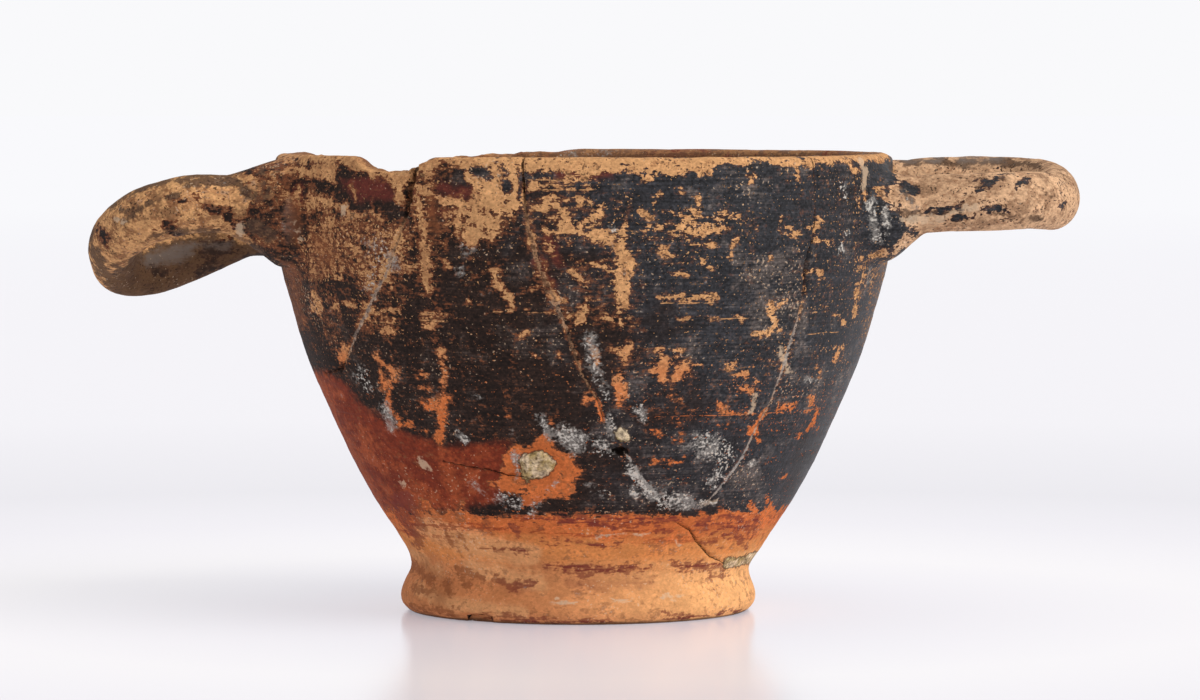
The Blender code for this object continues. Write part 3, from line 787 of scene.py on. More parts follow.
def on_wall(across, down):
    """(angle, height) of the spot on the front of the bowl that the camera sees at this pixel."""
    right = (across - PICTURE_WIDTH / 2) / FOCAL_PIXELS
    rise = (PICTURE_HEIGHT / 2 - down) / FOCAL_PIXELS
    along = rise * math.sin(CAMERA_DIP) + math.cos(CAMERA_DIP)
    climb = rise * math.cos(CAMERA_DIP) - math.sin(CAMERA_DIP)
    y = -RIM_RADIUS
    for _ in range(SIGHT_ROUNDS):
        reach = (y - CAMERA_PLACE[1]) / along
        x = CAMERA_PLACE[0] + reach * right - AXIS_X
        z = CAMERA_PLACE[2] + reach * climb
        y = -math.sqrt(max(float(outer_radius(z)) ** 2 - x * x, 0.0))
    return math.atan2(y, x) % (2 * math.pi), z


def wall_run(height):
    """How far up the curved outside of the wall a height lies, measured along the wall."""
    steps = np.linalg.norm(np.diff(OUTSIDE, axis=0), axis=1)
    return np.interp(height, OUTSIDE[:, 1], np.concatenate([[0.0], np.cumsum(steps)]))


def join_lines():
    """Each join as its angles, its heights, its half widths and its fillings, from one end to the other."""
    lines = []
    for join in FRONT_JOINS:
        places = [(*on_wall(across, down), width / 2, filling) for across, down, width, filling in join]
        lines.append(np.array(places))
    for join in BACK_JOINS:
        places = [(math.radians(turn), z, width / 2, filling) for turn, z, width, filling in join]
        lines.append(np.array(places))
    return lines


JOINS = join_lines()


def beside_join(line, angle, radius, run):
    """For points on the wall: how far they lie to one side of a join and past its ends, and the join's half
    width and filling there."""
    across = np.full(len(angle), FAR_OFF)
    nearest = np.full(len(angle), FAR_OFF)
    past = np.full(len(angle), FAR_OFF)
    width = np.ones(len(angle))
    filling = np.zeros(len(angle))
    last = len(line) - 2
    for i, (start, end) in enumerate(zip(line, line[1:])):
        turn = (angle - start[0] + math.pi) % (2 * math.pi) - math.pi
        x = turn * radius
        y = run - wall_run(start[1])
        step = np.array([(end[0] - start[0]) * (outer_radius(start[1]) + outer_radius(end[1])) / 2,
                         wall_run(end[1]) - wall_run(start[1])])
        length = np.linalg.norm(step)
        ahead = step / length
        along = x * ahead[0] + y * ahead[1]
        side = x * ahead[1] - y * ahead[0]
        share = np.clip(along / length, 0.0, 1.0)
        gap = np.hypot(side, along - share * length)
        over = np.zeros(len(angle))
        if i == 0:
            over = np.maximum(over, -along)
        if i == last:
            over = np.maximum(over, along - length)
        signed = np.where(over > 0, side, np.where(side < 0, -gap, gap))
        closer = gap < nearest
        nearest = np.where(closer, gap, nearest)
        across = np.where(closer, signed, across)
        past = np.where(closer, over, past)
        width = np.where(closer, start[2] + (end[2] - start[2]) * share, width)
        filling = np.where(closer, start[3] + (end[3] - start[3]) * share, filling)
    return across, past, width, filling


def all_joins(points):
    """What beside_join gives for each join, for points anywhere on the cup."""
    angle = np.arctan2(points[:, 1], points[:, 0] - AXIS_X)
    radius = np.hypot(points[:, 0] - AXIS_X, points[:, 1])
    run = wall_run(points[:, 2])
    return [beside_join(line, angle, radius, run) for line in JOINS]


def detail_distance(points):
    """How far each outside point is from the nearest join or small raised or sunk shape, in millimetres."""
    radius = np.hypot(points[:, 0] - AXIS_X, points[:, 1])
    nearest = np.full(len(points), FAR_OFF)
    for across, past, _, _ in all_joins(points):
        nearest = np.minimum(nearest, np.hypot(across, past))
    shapes = depth_in(photo_pixels(points), [], [LUMP, PLUG, SLOT, FOOT_NICK])
    shapes[points[:, 1] > 0] = -FAR_OFF
    nearest = np.minimum(nearest, np.maximum(-shapes, 0.0))
    nearest[radius < wall_middle(points[:, 2])] = FAR_OFF
    return nearest


def refine(mesh):
    """Halves the faces near the joins and the small raised and sunk shapes."""
    shape = bmesh.new()
    shape.from_mesh(mesh)
    shape.verts.index_update()
    points = np.array([v.co[:] for v in shape.verts]) / MM
    close = detail_distance(points) < REFINE_MARGIN
    edges = [e for e in shape.edges if close[e.verts[0].index] and close[e.verts[1].index]]
    bmesh.ops.subdivide_edges(shape, edges=edges, cuts=1, use_grid_fill=True)
    shape.to_mesh(mesh)
    shape.free()


def spread_at(distance_out, spread):
    """How many times thicker a handle is this far out than it is along its loop."""
    start, gain = spread
    share = np.clip((start - distance_out) / (start - SPREAD_END), 0.0, 1.0)
    return 1.0 + gain * share**SPREAD_POWER


def handle_rings(middle_line, spread):
    """A loop handle as rings of points, from inside the wall at one root to inside it at the other."""
    path = curve_through(middle_line)
    path[:, 2] /= SECTION_STRETCH
    path = evenly_spaced(path, HANDLE_STEP)
    side = 1.0 if path[0, 0] > 0 else -1.0
    ahead = np.gradient(path, axis=0)
    ahead /= np.linalg.norm(ahead, axis=1)[:, None]
    across = np.cross(ahead, (0.0, 0.0, 1.0))
    across /= np.linalg.norm(across, axis=1)[:, None]
    up = np.cross(across, ahead)
    turn = 2 * math.pi * np.arange(HANDLE_SIDES) / HANDLE_SIDES
    made = []
    for i, (middle, sideways, upward) in enumerate(zip(path, across, up)):
        radius = HANDLE_HALF_WIDTH * spread_at(abs(middle[0]), spread)
        points = middle + radius * (np.outer(np.cos(turn), sideways) + np.outer(np.sin(turn), upward))
        points[:, 2] = np.minimum(points[:, 2] * SECTION_STRETCH, HEIGHT - BELOW_LIP)
        sunk = ROOT_STEP * min(i, len(path) - 1 - i)
        wall = wall_middle(points[:, 2]) + sunk
        least = np.sqrt(wall**2 - points[:, 1] ** 2)
        points[:, 0] = side * np.maximum(side * points[:, 0], least)
        made.append(points)
    return made


def add_object(name, mesh):
    obj = bpy.data.objects.new(name, mesh)
    bpy.context.scene.collection.objects.link(obj)
    return obj


def joined_cup():
    """The bowl with both handles in one closed mesh."""
    rings = [settle(points) for points in body_rings()]
    floor_middle = settle(np.array([[0.0, 0.0, FLOOR_HEIGHT]]))[0]
    recess_middle = settle(np.array([[0.0, 0.0, RECESS_DEPTH]]))[0]
    body_mesh = mesh_from("bowl", *closed_shape(rings, floor_middle, recess_middle))
    refine(body_mesh)
    mark_faces(body_mesh, 0)
    cup = add_object("bowl", body_mesh)
    handles = (("left_handle", LEFT_HANDLE, LEFT_SPREAD), ("right_handle", RIGHT_HANDLE, RIGHT_SPREAD))
    for name, line, spread in handles:
        rings = handle_rings(line, spread)
        handle_mesh = mesh_from(name, *closed_shape(rings, rings[0].mean(axis=0), rings[-1].mean(axis=0)))
        mark_faces(handle_mesh, 1)
        union = cup.modifiers.new(name, "BOOLEAN")
        union.operation = "UNION"
        union.solver = "MANIFOLD"
        union.object = add_object(name, handle_mesh)
    bpy.context.view_layer.update()
    graph = bpy.context.evaluated_depsgraph_get()
    mesh = bpy.data.meshes.new_from_object(cup.evaluated_get(graph))
    for obj in [cup] + [m.object for m in cup.modifiers]:
        bpy.data.objects.remove(obj, do_unlink=True)
    mesh.name = "cup"
    return mesh


def mark_faces(mesh, number):
    """Gives all faces one material slot of two, to tell the bowl's faces from the handles'."""
    mesh.materials.append(None)
    mesh.materials.append(None)
    mesh.polygons.foreach_set("material_index", np.full(len(mesh.polygons), number, np.int32))


def fill_corners(mesh):
    """Fills the hollow corners where the handles meet the wall and the lip, as smeared wet clay does."""
    own = [set() for _ in mesh.vertices]
    for face in mesh.polygons:
        for number in face.vertices:
            own[number].add(face.material_index)
    points = mesh_points(mesh)
    normals = mesh_rows(mesh, "normal")
    seam = [i for i, kinds in enumerate(own) if len(kinds) > 1]
    tree = kdtree.KDTree(len(seam))
    for i in seam:
        tree.insert(points[i], i)
    tree.balance()
    distance = np.array([tree.find(p)[2] for p in points.tolist()])
    radius = np.hypot(points[:, 0] - AXIS_X, points[:, 1])
    share = smooth_step(CORNER_REACH, 0.3, distance) * (radius > wall_middle(points[:, 2]))
    ends = np.array([e.vertices[:] for e in mesh.edges])
    count = np.bincount(ends.ravel(), minlength=len(points))
    for _ in range(CORNER_ROUNDS):
        total = np.zeros_like(points)
        for axis in range(3):
            total[:, axis] += np.bincount(ends[:, 0], points[ends[:, 1], axis], len(points))
            total[:, axis] += np.bincount(ends[:, 1], points[ends[:, 0], axis], len(points))
        move = total / count[:, None] - points
        outward = np.sum(move * normals, axis=1)
        points += (CORNER_PULL * share * np.where(outward > 0, 1.0, INWARD_SHARE))[:, None] * move
    set_mesh_points(mesh, points)
    for face in mesh.polygons:
        face.material_index = 0
    mesh.materials.clear()


def noise_at(points, scale, octaves=1, shift=0.0):
    """Smooth noise from about -1 to 1 at each point, at one scale per millimetre or one for each direction.
    Shift picks another stretch of it."""
    places = points * np.array(scale) + np.array(NOISE_START) * (1.0 + shift)
    if octaves == 1:
        return np.array([noise.noise(Vector(p)) for p in places.tolist()])
    return np.array([noise.fractal(Vector(p), 1.0, 2.0, octaves) for p in places.tolist()])


def distance_to_run(pixels, run):
    """How far each place is from a broken line, in pixels."""
    nearest = np.full(len(pixels), FAR_PIXELS)
    for first, last in zip(run, run[1:] if len(run) > 1 else run):
        start = np.array(first, float)
        along = np.array(last, float) - start
        share = np.clip((pixels - start) @ along / max(along @ along, 1e-9), 0.0, 1.0)
        nearest = np.minimum(nearest, np.linalg.norm(pixels - start - share[:, None] * along, axis=1))
    return nearest


def inside_outline(pixels, outline):
    """Whether each place is inside a closed outline."""
    within = np.zeros(len(pixels), bool)
    for (x0, y0), (x1, y1) in zip(outline, outline[1:] + outline[:1]):
        crosses = (y0 > pixels[:, 1]) != (y1 > pixels[:, 1])
        rise = (y1 - y0) if y1 != y0 else 1.0
        within ^= crosses & (pixels[:, 0] < x0 + (x1 - x0) * (pixels[:, 1] - y0) / rise)
    return within


def depth_in(pixels, strokes, outlines):
    """How deep each place is inside the nearest stroke or outline, in millimetres. It is negative outside."""
    depth = np.full(len(pixels), -FAR_PIXELS)
    for half_width, *run in strokes:
        near = near_box(pixels, run, half_width + REACH_PIXELS)
        depth[near] = np.maximum(depth[near], half_width - distance_to_run(pixels[near], run))
    for outline in outlines:
        near = near_box(pixels, outline, REACH_PIXELS)
        edge = distance_to_run(pixels[near], outline + outline[:1])
        depth[near] = np.maximum(depth[near], np.where(inside_outline(pixels[near], outline), edge, -edge))
    return np.maximum(depth / PIXELS_A_MM, -REACH_PIXELS / PIXELS_A_MM)


def near_box(pixels, run, margin):
    low = np.min(run, axis=0) - margin
    high = np.max(run, axis=0) + margin
    return np.all((pixels > low) & (pixels < high), axis=1)


def softly_in(pixels, areas):
    """The strongest of the soft-edged boxes at each place. A box is (left, top, right, bottom, strength)."""
    found = np.zeros(len(pixels))
    for left, top, right, bottom, strength in areas:
        level = np.full(len(pixels), strength)
        for axis, low, high in ((0, left, right), (1, top, bottom)):
            soft = min(WORN_SOFTNESS[axis], (high - low) / 2)
            level *= smooth_step(low - soft, low + soft, pixels[:, axis])
            level *= smooth_step(high + soft, high - soft, pixels[:, axis])
        found = np.maximum(found, level)
    return found


def keep(mesh, name, values):
    """Keeps one number, or one row of three, for each point of the mesh."""
    values = np.asarray(values, np.float32)
    kind, field = ("FLOAT", "value") if values.ndim == 1 else ("FLOAT_VECTOR", "vector")
    mesh.attributes.new(name, kind, "POINT").data.foreach_set(field, values.ravel())


class Places:
    """Where each point of the mesh is: in the photograph, inside or under the cup, on a handle, in front."""

    def __init__(self, mesh):
        self.points = mesh_points(mesh)
        self.normals = mesh_rows(mesh, "normal")
        self.pixels = photo_pixels(self.points)
        wobble = np.column_stack([noise_at(self.points, 0.55, 2, shift) for shift in (30.0, 31.0)])
        self.drawn = self.pixels + WOBBLE * wobble
        self.height = self.points[:, 2]
        self.angle = np.arctan2(self.points[:, 1], self.points[:, 0] - AXIS_X)
        self.radius = np.hypot(self.points[:, 0] - AXIS_X, self.points[:, 1])
        self.below_rim = rim_height(self.angle) - self.height
        self.inside = (self.radius < wall_middle(self.height)) & (self.height > UNDERSIDE_TOP)
        self.under = (self.radius < RING_OUTER_RADIUS) & (self.height < UNDERSIDE_TOP)
        off_wall = self.radius - outer_radius(self.height)
        self.handle = smooth_step(*HANDLE_START, off_wall) * (self.height > HANDLE_LOWEST)
        towards = np.array(CAMERA_PLACE) - self.points
        towards /= np.linalg.norm(towards, axis=1)[:, None]
        facing = np.sum(self.normals * towards, axis=1)
        self.front = smooth_step(*TURNED_TO_CAMERA, facing) * ~self.inside * ~self.under

    def noise(self, scale, octaves, shift):
        return noise_at(self.points, scale, octaves, shift)

    def blend(self, seen, hidden):
        """One set of values where the photograph shows the cup, and another on its hidden sides."""
        return hidden + self.front * (seen - hidden)


def front_relief(place):
    """How far the lump, plug, slot, spall and nick stand out from the front, in millimetres."""
    rough = place.noise(0.9, 3, 2.0)
    facets = np.abs(place.noise(0.35, 1, 2.5))
    out = np.zeros(len(place.points))
    for outline, low, high, height in (
        (SPALL, -0.3, 0.8, -0.35),
        (LUMP, -0.1, 0.9, 0.9 + 0.5 * rough + 0.9 * facets),
        (PLUG, -0.1, 0.5, 0.6 + 0.4 * rough),
        (SLOT, -0.12, 0.2, -1.8),
        (FOOT_NICK, -0.2, 0.5, -1.3),
    ):
        out += height * smooth_step(low, high, depth_in(place.pixels, [], [outline]))
    return out * place.front * (1 - place.handle)


def join_relief(place):
    """The grooves along the joins, and the small steps between the sherds on their two sides."""
    out = np.zeros(len(place.points))
    wobble = 0.5 * place.noise(0.8, 2, 2.7)
    for (across, past, width, filling), step in zip(all_joins(place.points), JOIN_STEPS):
        strength = smooth_step(1.5, 0.0, past)
        reach = np.abs(across / width + wobble)
        depth = np.interp(filling, [0.0, 0.5, 1.0, 2.0], [2.0, 0.6, 0.35, 0.05])
        depth = np.minimum(depth, 7.0 * width)
        out -= depth * smooth_step(1.5, 0.6, reach) * strength
        chipped = smooth_step(5.0, 1.0, reach) * smooth_step(0.8, 0.2, filling)
        out -= 0.12 * chipped * strength * (1 + place.noise(0.6, 2, 2.8))
        fade = np.exp(-np.abs(across) / 5.0) * smooth_step(2.5, 0.0, past) * smooth_step(0.5, 2.0, reach)
        out += step * np.sign(across) * fade
    return out * (1 - place.handle) * ~place.inside * ~place.under


def lime_level(place):
    """How thickly the whitish deposits lie, from 0 to about 0.6."""
    level = np.zeros(len(place.points))
    for half_width, strength, *run in LIME:
        reach = distance_to_run(place.drawn, run)
        level = np.maximum(level, strength * smooth_step(half_width * 1.7, half_width * 0.2, reach))
    hidden = 0.42 * smooth_step(0.2, 0.7, place.noise(0.07, 2, 11.0))
    return place.blend(level, hidden)


def shape_surface(mesh):
    """Gives the smooth cup its wheel marks, unevenness, joins, broken edges and crusts, inside its box."""
    place = Places(mesh)
    handle = place.handle
    wall = (1 - handle) * smooth_step(0.5, 2.0, place.height)
    out = 0.10 * place.noise(0.045, 1, 1.0) * wall
    out += np.where(place.inside, 0.16, 0.05) * place.noise((0.015, 0.015, 0.5), 2, 3.0) * wall
    out += 0.035 * place.noise((0.1, 0.1, 0.9), 2, 4.0) * wall
    out += handle * (0.22 * place.noise(0.09, 2, 5.0) + 0.06 * place.noise(0.45, 2, 6.0))
    out += 0.03 * place.noise(0.8, 2, 6.5)
    out += join_relief(place)
    out += front_relief(place)
    out += 0.2 * smooth_step(0.25, 0.55, lime_level(place)) * (place.noise(1.3, 2, 7.0) + 0.2)
    points = place.points + out[:, None] * place.normals

    gone = broken(place.angle) * (1 - handle)
    points[:, 2] += gone * smooth_step(1.6, 0.2, place.below_rim) * (0.5 * place.noise(0.5, 3, 8.0) - 0.2)
    whole = (1 - broken(place.angle)) * (1 - handle)
    points[:, 2] += whole * smooth_step(2.2, 0.2, place.below_rim) * (0.10 * place.noise(0.2, 3, 9.0) - 0.08)
    reach = np.abs(points[:, 0])
    over = points[:, 2] - HEIGHT + BEVEL_SLOPE * np.maximum(reach - BEVEL_START, 0.0)
    points[:, 2] -= smooth_step(BEVEL_END + 0.8, BEVEL_END, reach) * np.maximum(over, 0.0)
    low = np.array(CAD_BOX[0]) / MM
    high = np.array(CAD_BOX[1]) / MM
    set_mesh_points(mesh, np.clip(points, low, high))


def bare_depth(place):
    """How far inside a bare place each point is, in millimetres, and negative where the gloss is left."""
    seen = depth_in(place.drawn, FLAKES, FLAKE_OUTLINES)
    hidden = 3.0 * place.noise((0.075, 0.075, 0.1), 3, 12.0) - 1.6
    depth = place.blend(seen, hidden)
    rim_band = np.interp(place.pixels[:, 0], *np.array(RIM_BANDS).T)
    rim_band = place.blend(rim_band, np.where(place.inside, 0.4, 1.5)) - place.below_rim
    depth = np.maximum(depth, np.minimum(rim_band + 1.2 * place.noise(0.3, 3, 13.0), 1.5))
    root = np.where(place.points[:, 0] < 0, *HANDLE_ROOTS)
    past_root = np.abs(place.points[:, 0]) - root + 4.0 * place.noise(0.18, 3, 14.0)
    depth = np.maximum(depth, np.where(place.handle > 0, past_root, -FAR_OFF))
    edge = GLOSS_EDGE - EDGE_TILT * place.points[:, 1] + 0.4 * place.noise((0.12, 0.12, 0.02), 2, 15.0)
    streaky = smooth_step(*STREAKY_EDGE, np.abs(place.points[:, 0]))
    edge += streaky * (0.1 + 1.5 * place.noise((0.5, 0.5, 0.05), 2, 16.0))
    depth = np.where(place.inside, depth, np.maximum(depth, edge - place.height))
    left_on = depth_in(place.drawn, LEFT_ON, [])
    depth = np.minimum(depth, place.blend(-left_on, FAR_OFF))
    return np.where(place.under, FAR_OFF, depth)


def wear_share(place):
    """The share of clay that shows through as fine flecks and streaks."""
    wander = np.column_stack([place.noise(0.13, 2, n) for n in (32.0, 33.0)])
    seen = np.maximum(softly_in(place.pixels + WEAR_WANDER * wander, WORN), PLAIN_WEAR)
    patches = 0.5 + 0.5 * place.noise((0.05, 0.05, 0.03), 2, 17.0)
    near_rim = smooth_step(34.0, 2.0, place.below_rim)
    hidden = 0.12 + 0.30 * patches * near_rim + 0.14 * patches
    hidden = np.where(place.inside, 0.7 * hidden + 0.25 * smooth_step(7.0, 1.0, place.below_rim), hidden)
    return place.blend(seen, hidden)


def surface_marks(mesh):
    """Keeps on the mesh, for the material, where the gloss, the bare clay, the joins and the deposits are."""
    place = Places(mesh)
    drift = place.noise(0.05, 2, 18.0)
    round_left = smooth_step(26.0, 2.0, place.points[:, 1]) * smooth_step(-18.0, -32.0, place.points[:, 0])
    round_left *= smooth_step(48.0, 38.0, place.height + 8.0 * place.noise(0.08, 2, 34.0))
    hidden_red = 2.4 * drift - 1.4 - 0.04 * np.maximum(place.height - 30.0, 0.0) + 3.4 * round_left
    hidden_smudge = 1.6 * place.noise((0.1, 0.1, 0.3), 3, 19.0) - 1.0
    hidden_buff = 1.5 * place.noise(0.06, 2, 20.0) - 0.6
    for name, strokes, outlines, hidden in (
        ("red", RED_STROKES, RED_OUTLINES, hidden_red),
        ("smudge", SMUDGES, [], hidden_smudge),
        ("smear", SMEARS, [], 2.0 * drift - 0.9),
        ("pale", PALE, [], -2.0),
        ("buff", BUFF, [], hidden_buff),
        ("soot_and_shade", SOOT_AND_SHADE_STROKES, PAINTED_SHADE_OUTLINES, 2.0 * drift - 1.0),
    ):
        keep(mesh, name, place.blend(depth_in(place.drawn, strokes, outlines), hidden))
    keep(mesh, "lump", place.blend(depth_in(place.pixels, GREENISH, [LUMP, PLUG]), -2.0))
    # Painted shade: where the slot and the nick in the foot are, to be filled with the dark of a hole
    keep(mesh, "hollow", place.blend(depth_in(place.pixels, [], [SLOT, FOOT_NICK]), -2.0))
    keep(mesh, "bare", np.clip(bare_depth(place), -2.5, 2.5))
    keep(mesh, "wear", wear_share(place))
    keep(mesh, "lime", lime_level(place))
    keep(mesh, "handle", place.handle)
    # Tone rises towards the upper right: the gloss is blue-black there, and the grey haze laid on it there is
    # painted sheen
    rise = place.points[:, 0] + 0.6 * (place.height - 55.0)
    keep(mesh, "tone_and_sheen", smooth_step(-30.0, 34.0, rise + 14.0 * place.noise(0.04, 2, 21.0)))
    rubbed = 0.08 * smooth_step(2.4, 0.3, place.below_rim) * (1 - place.handle)
    keep(mesh, "inner", np.where(place.inside, 1.0, rubbed))
    for number, (across, past, width, filling) in enumerate(all_joins(place.points)):
        strength = smooth_step(1.5, 0.0, past) * (1 - place.handle) * ~place.inside * ~place.under
        rows = np.column_stack([np.clip(across / width, -30.0, 30.0), strength, filling])
        keep(mesh, f"join_{number}", rows)


def linear(screen):
    """A colour as the linear values that a shader takes, from its 8-bit screen values."""
    shares = [part / 255.0 for part in screen]
    return tuple(s / 12.92 if s <= 0.04045 else ((s + 0.055) / 1.055) ** 2.4 for s in shares) + (1.0,)


class Net:
    """A material's nodes, with a short call for each kind that the cup and the table use."""

    def __init__(self, name):
        self.material = bpy.data.materials.new(name)
        self.material.use_nodes = True
        self.tree = self.material.node_tree
        self.shader = self.tree.nodes["Principled BSDF"]

    def feed(self, socket, value):
        if isinstance(value, bpy.types.NodeSocket):
            self.tree.links.new(value, socket)
        elif socket.type == "RGBA":
            socket.default_value = linear(value)
        else:
            socket.default_value = value

    def node(self, kind, *values, **settings):
        made = self.tree.nodes.new("ShaderNode" + kind)
        for name, value in settings.items():
            setattr(made, name, value)
        for socket, value in zip(made.inputs, values):
            self.feed(socket, value)
        return made

    def mark(self, name):
        """A value that the mesh carries."""
        return self.node("Attribute", attribute_name=name).outputs["Fac"]

    def mark_row(self, name):
        """Three values that the mesh carries."""
        row = self.node("Attribute", attribute_name=name).outputs["Vector"]
        return self.node("SeparateXYZ", row).outputs

    def millimetres(self):
        place = self.node("TexCoord").outputs["Object"]
        return self.node("VectorMath", place, (1 / MM, 1 / MM, 1 / MM), operation="MULTIPLY").outputs[0]

    def noise(self, place, scales, detail, roughness):
        """Noise around 0, mostly between -0.25 and 0.25, from scales per millimetre along x, y and z."""
        stretched = self.node("VectorMath", place, scales, operation="MULTIPLY").outputs[0]
        made = self.node("TexNoise")
        self.feed(made.inputs["Vector"], stretched)
        made.inputs["Scale"].default_value = 1.0
        made.inputs["Detail"].default_value = detail
        made.inputs["Roughness"].default_value = roughness
        return self.node("Math", made.outputs["Fac"], 0.5, operation="SUBTRACT").outputs[0]

    def sum(self, first, *terms):
        """Adds to the first value each (socket, factor)."""
        total = first
        for socket, factor in terms:
            total = self.node("Math", socket, factor, total, operation="MULTIPLY_ADD").outputs[0]
        return total

    def times(self, first, second):
        return self.node("Math", first, second, operation="MULTIPLY").outputs[0]

    def most(self, first, second):
        return self.node("Math", first, second, operation="MAXIMUM").outputs[0]

    def size(self, value):
        return self.node("Math", value, operation="ABSOLUTE").outputs[0]

    def off(self, value, centre):
        """How far a value is from a number, either way."""
        return self.size(self.node("Math", value, centre, operation="SUBTRACT").outputs[0])

    def rise(self, value, low, high, least=0.0, most=1.0):
        """From least at low to most at high, with an S-shaped rise between them."""
        made = self.node("MapRange", value, low, high, least, most, interpolation_type="SMOOTHSTEP")
        return made.outputs[0]

    def fall(self, value, low, high):
        return self.rise(value, low, high, 1.0, 0.0)

    def mix(self, share, first, second):
        made = self.node("Mix", data_type="RGBA")
        self.feed(made.inputs[0], share)
        self.feed(made.inputs[6], first)
        self.feed(made.inputs[7], second)
        return made.outputs[2]

    def cover(self, base, colour, share, strength):
        """Lays a colour over a base where share is above 0, at most with this strength."""
        return self.mix(self.times(share, strength), base, colour)

    def shade(self, base, value, gain):
        """Makes a colour lighter where the noise is above 0, and darker below."""
        level = self.node("Math", value, gain, 1.0, operation="MULTIPLY_ADD").outputs[0]
        made = self.node("VectorMath", base, operation="SCALE")
        self.feed(made.inputs["Scale"], level)
        return made.outputs[0]


class Noises:
    """The noise fields that the layers of the cup's finish share, and the place in millimetres."""

    def __init__(self, net):
        self.net = net
        place = net.millimetres()
        self.across, self.deep, self.height = net.node("SeparateXYZ", place).outputs
        for name, (scales, detail, roughness) in NOISE_FIELDS.items():
            setattr(self, name, net.noise(place, scales, detail, roughness))

    def over(self, value, **weights):
        """A value with each of these noises added to it, times its weight."""
        return self.net.sum(value, *((getattr(self, name), weight) for name, weight in weights.items()))

    def shaded(self, colour, **gains):
        """A colour made lighter and darker by each of these noises in turn."""
        for name, gain in gains.items():
            colour = self.net.shade(colour, getattr(self, name), gain)
        return colour


def clay_colour(net, noises):
    """Bare fired clay: tan above, orange lower down, golden under the gloss's edge and paler on the foot. The
    foot goes from brown on the left to yellow on the right, partly its own colour and partly painted light
    falling from the right.
    """
    height = noises.height
    clay = net.mix(net.fall(noises.over(height, mottle=16.0, across=0.06), 36.0, 54.0), TAN, ORANGE)
    low = noises.over(height, mottle=7.0, bands=5.0)
    clay = net.mix(net.fall(low, 13.0, 17.0), clay, GOLD)
    # Painted light: the foot's clay turns from shaded brown on the left to lit yellow on the right
    foot_clay_and_light = net.mix(net.rise(noises.across, -16.0, 30.0), FOOT_BROWN_IN_SHADE, FOOT_YELLOW_IN_LIGHT)
    clay = net.cover(clay, foot_clay_and_light, net.fall(low, 8.5, 13.0), 0.85)
    buff = net.rise(noises.over(net.mark("buff"), mottle=4.0, dashes=2.0), -0.6, 1.2)
    clay = net.cover(clay, BUFF_CLAY, buff, 0.72)
    streaks = net.rise(noises.over(noises.bands, ragged=0.7, dashes=0.5), 0.04, 0.13)
    reserve = net.times(net.rise(height, 12.0, 16.5), net.fall(height, 19.5, 24.0))
    clay = net.cover(clay, RUST, streaks, net.times(reserve, 0.7))
    clay = net.mix(net.mark("handle"), clay, handle_clay(net, noises))
    dirty = net.times(net.fall(net.mark("tone_and_sheen"), 0.0, 0.5), net.rise(height, 48.0, 62.0, 0.0, 0.12))
    stain = net.rise(noises.over(dirty, ragged=1.0, mottle=0.8, dashes=0.3), 0.03, 0.22)
    clay = net.cover(clay, STAIN_BROWN, stain, 0.55)
    clay = noises.shaded(clay, mottle=0.9, clouds=0.5, crumbs=0.5)
    return net.shade(clay, net.times(noises.grain, net.rise(height, 10.0, 20.0, 0.4, 1.0)), 1.0)


def handle_clay(net, noises):
    """The handles' clay: ochre on the left and paler on the right, with brown, pale and dark mottles."""
    clay = net.mix(net.rise(noises.across, -20.0, 20.0), HANDLE_OCHRE, HANDLE_TAN)
    brown = net.rise(noises.over(noises.blotches, mottle=-0.8, ragged=0.7), -0.03, 0.14)
    clay = net.cover(clay, HANDLE_BROWN, brown, net.rise(noises.across, -20.0, 20.0, 0.72, 0.5))
    clay = net.cover(clay, PALE_CLAY_AND_GLINT, net.rise(noises.over(noises.mottle, ragged=0.7), 0.09, 0.15), 0.6)
    dark = net.rise(noises.over(noises.specks, blotches=0.9, crumbs=0.5), 0.17, 0.22)
    return net.cover(clay, DARK_DIRT_AND_SHADE, dark, 0.8)


def gloss_colour(net, noises):
    """Black gloss: blue-black on the right, browner on the left, red or purple-brown where it misfired, and
    greyer towards the upper right, where a painted sheen is laid on.
    """
    tone_and_sheen = net.mark("tone_and_sheen")
    gloss = net.mix(net.rise(noises.over(tone_and_sheen, clouds=1.6, mottle=0.7), 0.15, 0.85), BROWN_BLACK, BLUE_BLACK)
    # Painted sheen: the grey haze is laid on more strongly towards the upper right
    haze = net.rise(noises.over(noises.clouds, lines=0.35, mottle=1.1, ragged=0.4), 0.02, 0.26)
    gloss = net.cover(gloss, GREY_HAZE_AND_SHEEN, haze, net.sum(0.18, (tone_and_sheen, 0.44)))
    gloss = noises.shaded(gloss, lines=1.3, mottle=1.3, crumbs=2.0, grain=2.2, bands=1.0)
    edge = net.fall(noises.over(noises.across, height=0.6), -24.0, -14.0)
    hot = net.sum(noises.over(noises.clouds, mottle=0.9, ragged=0.3), (edge, 0.14))
    red_gloss = net.cover(DEEP_RED, RED_ORANGE, net.rise(hot, -0.05, 0.2), 0.75)
    red_gloss = net.mix(net.rise(noises.height, 44.0, 58.0), red_gloss, PURPLE_BROWN)
    red_gloss = noises.shaded(red_gloss, ragged=1.2, grain=1.0)
    red = net.rise(noises.over(net.mark("red"), mottle=3.4, ragged=1.6), -1.0, 1.0)
    return net.cover(gloss, red_gloss, red, 0.95)


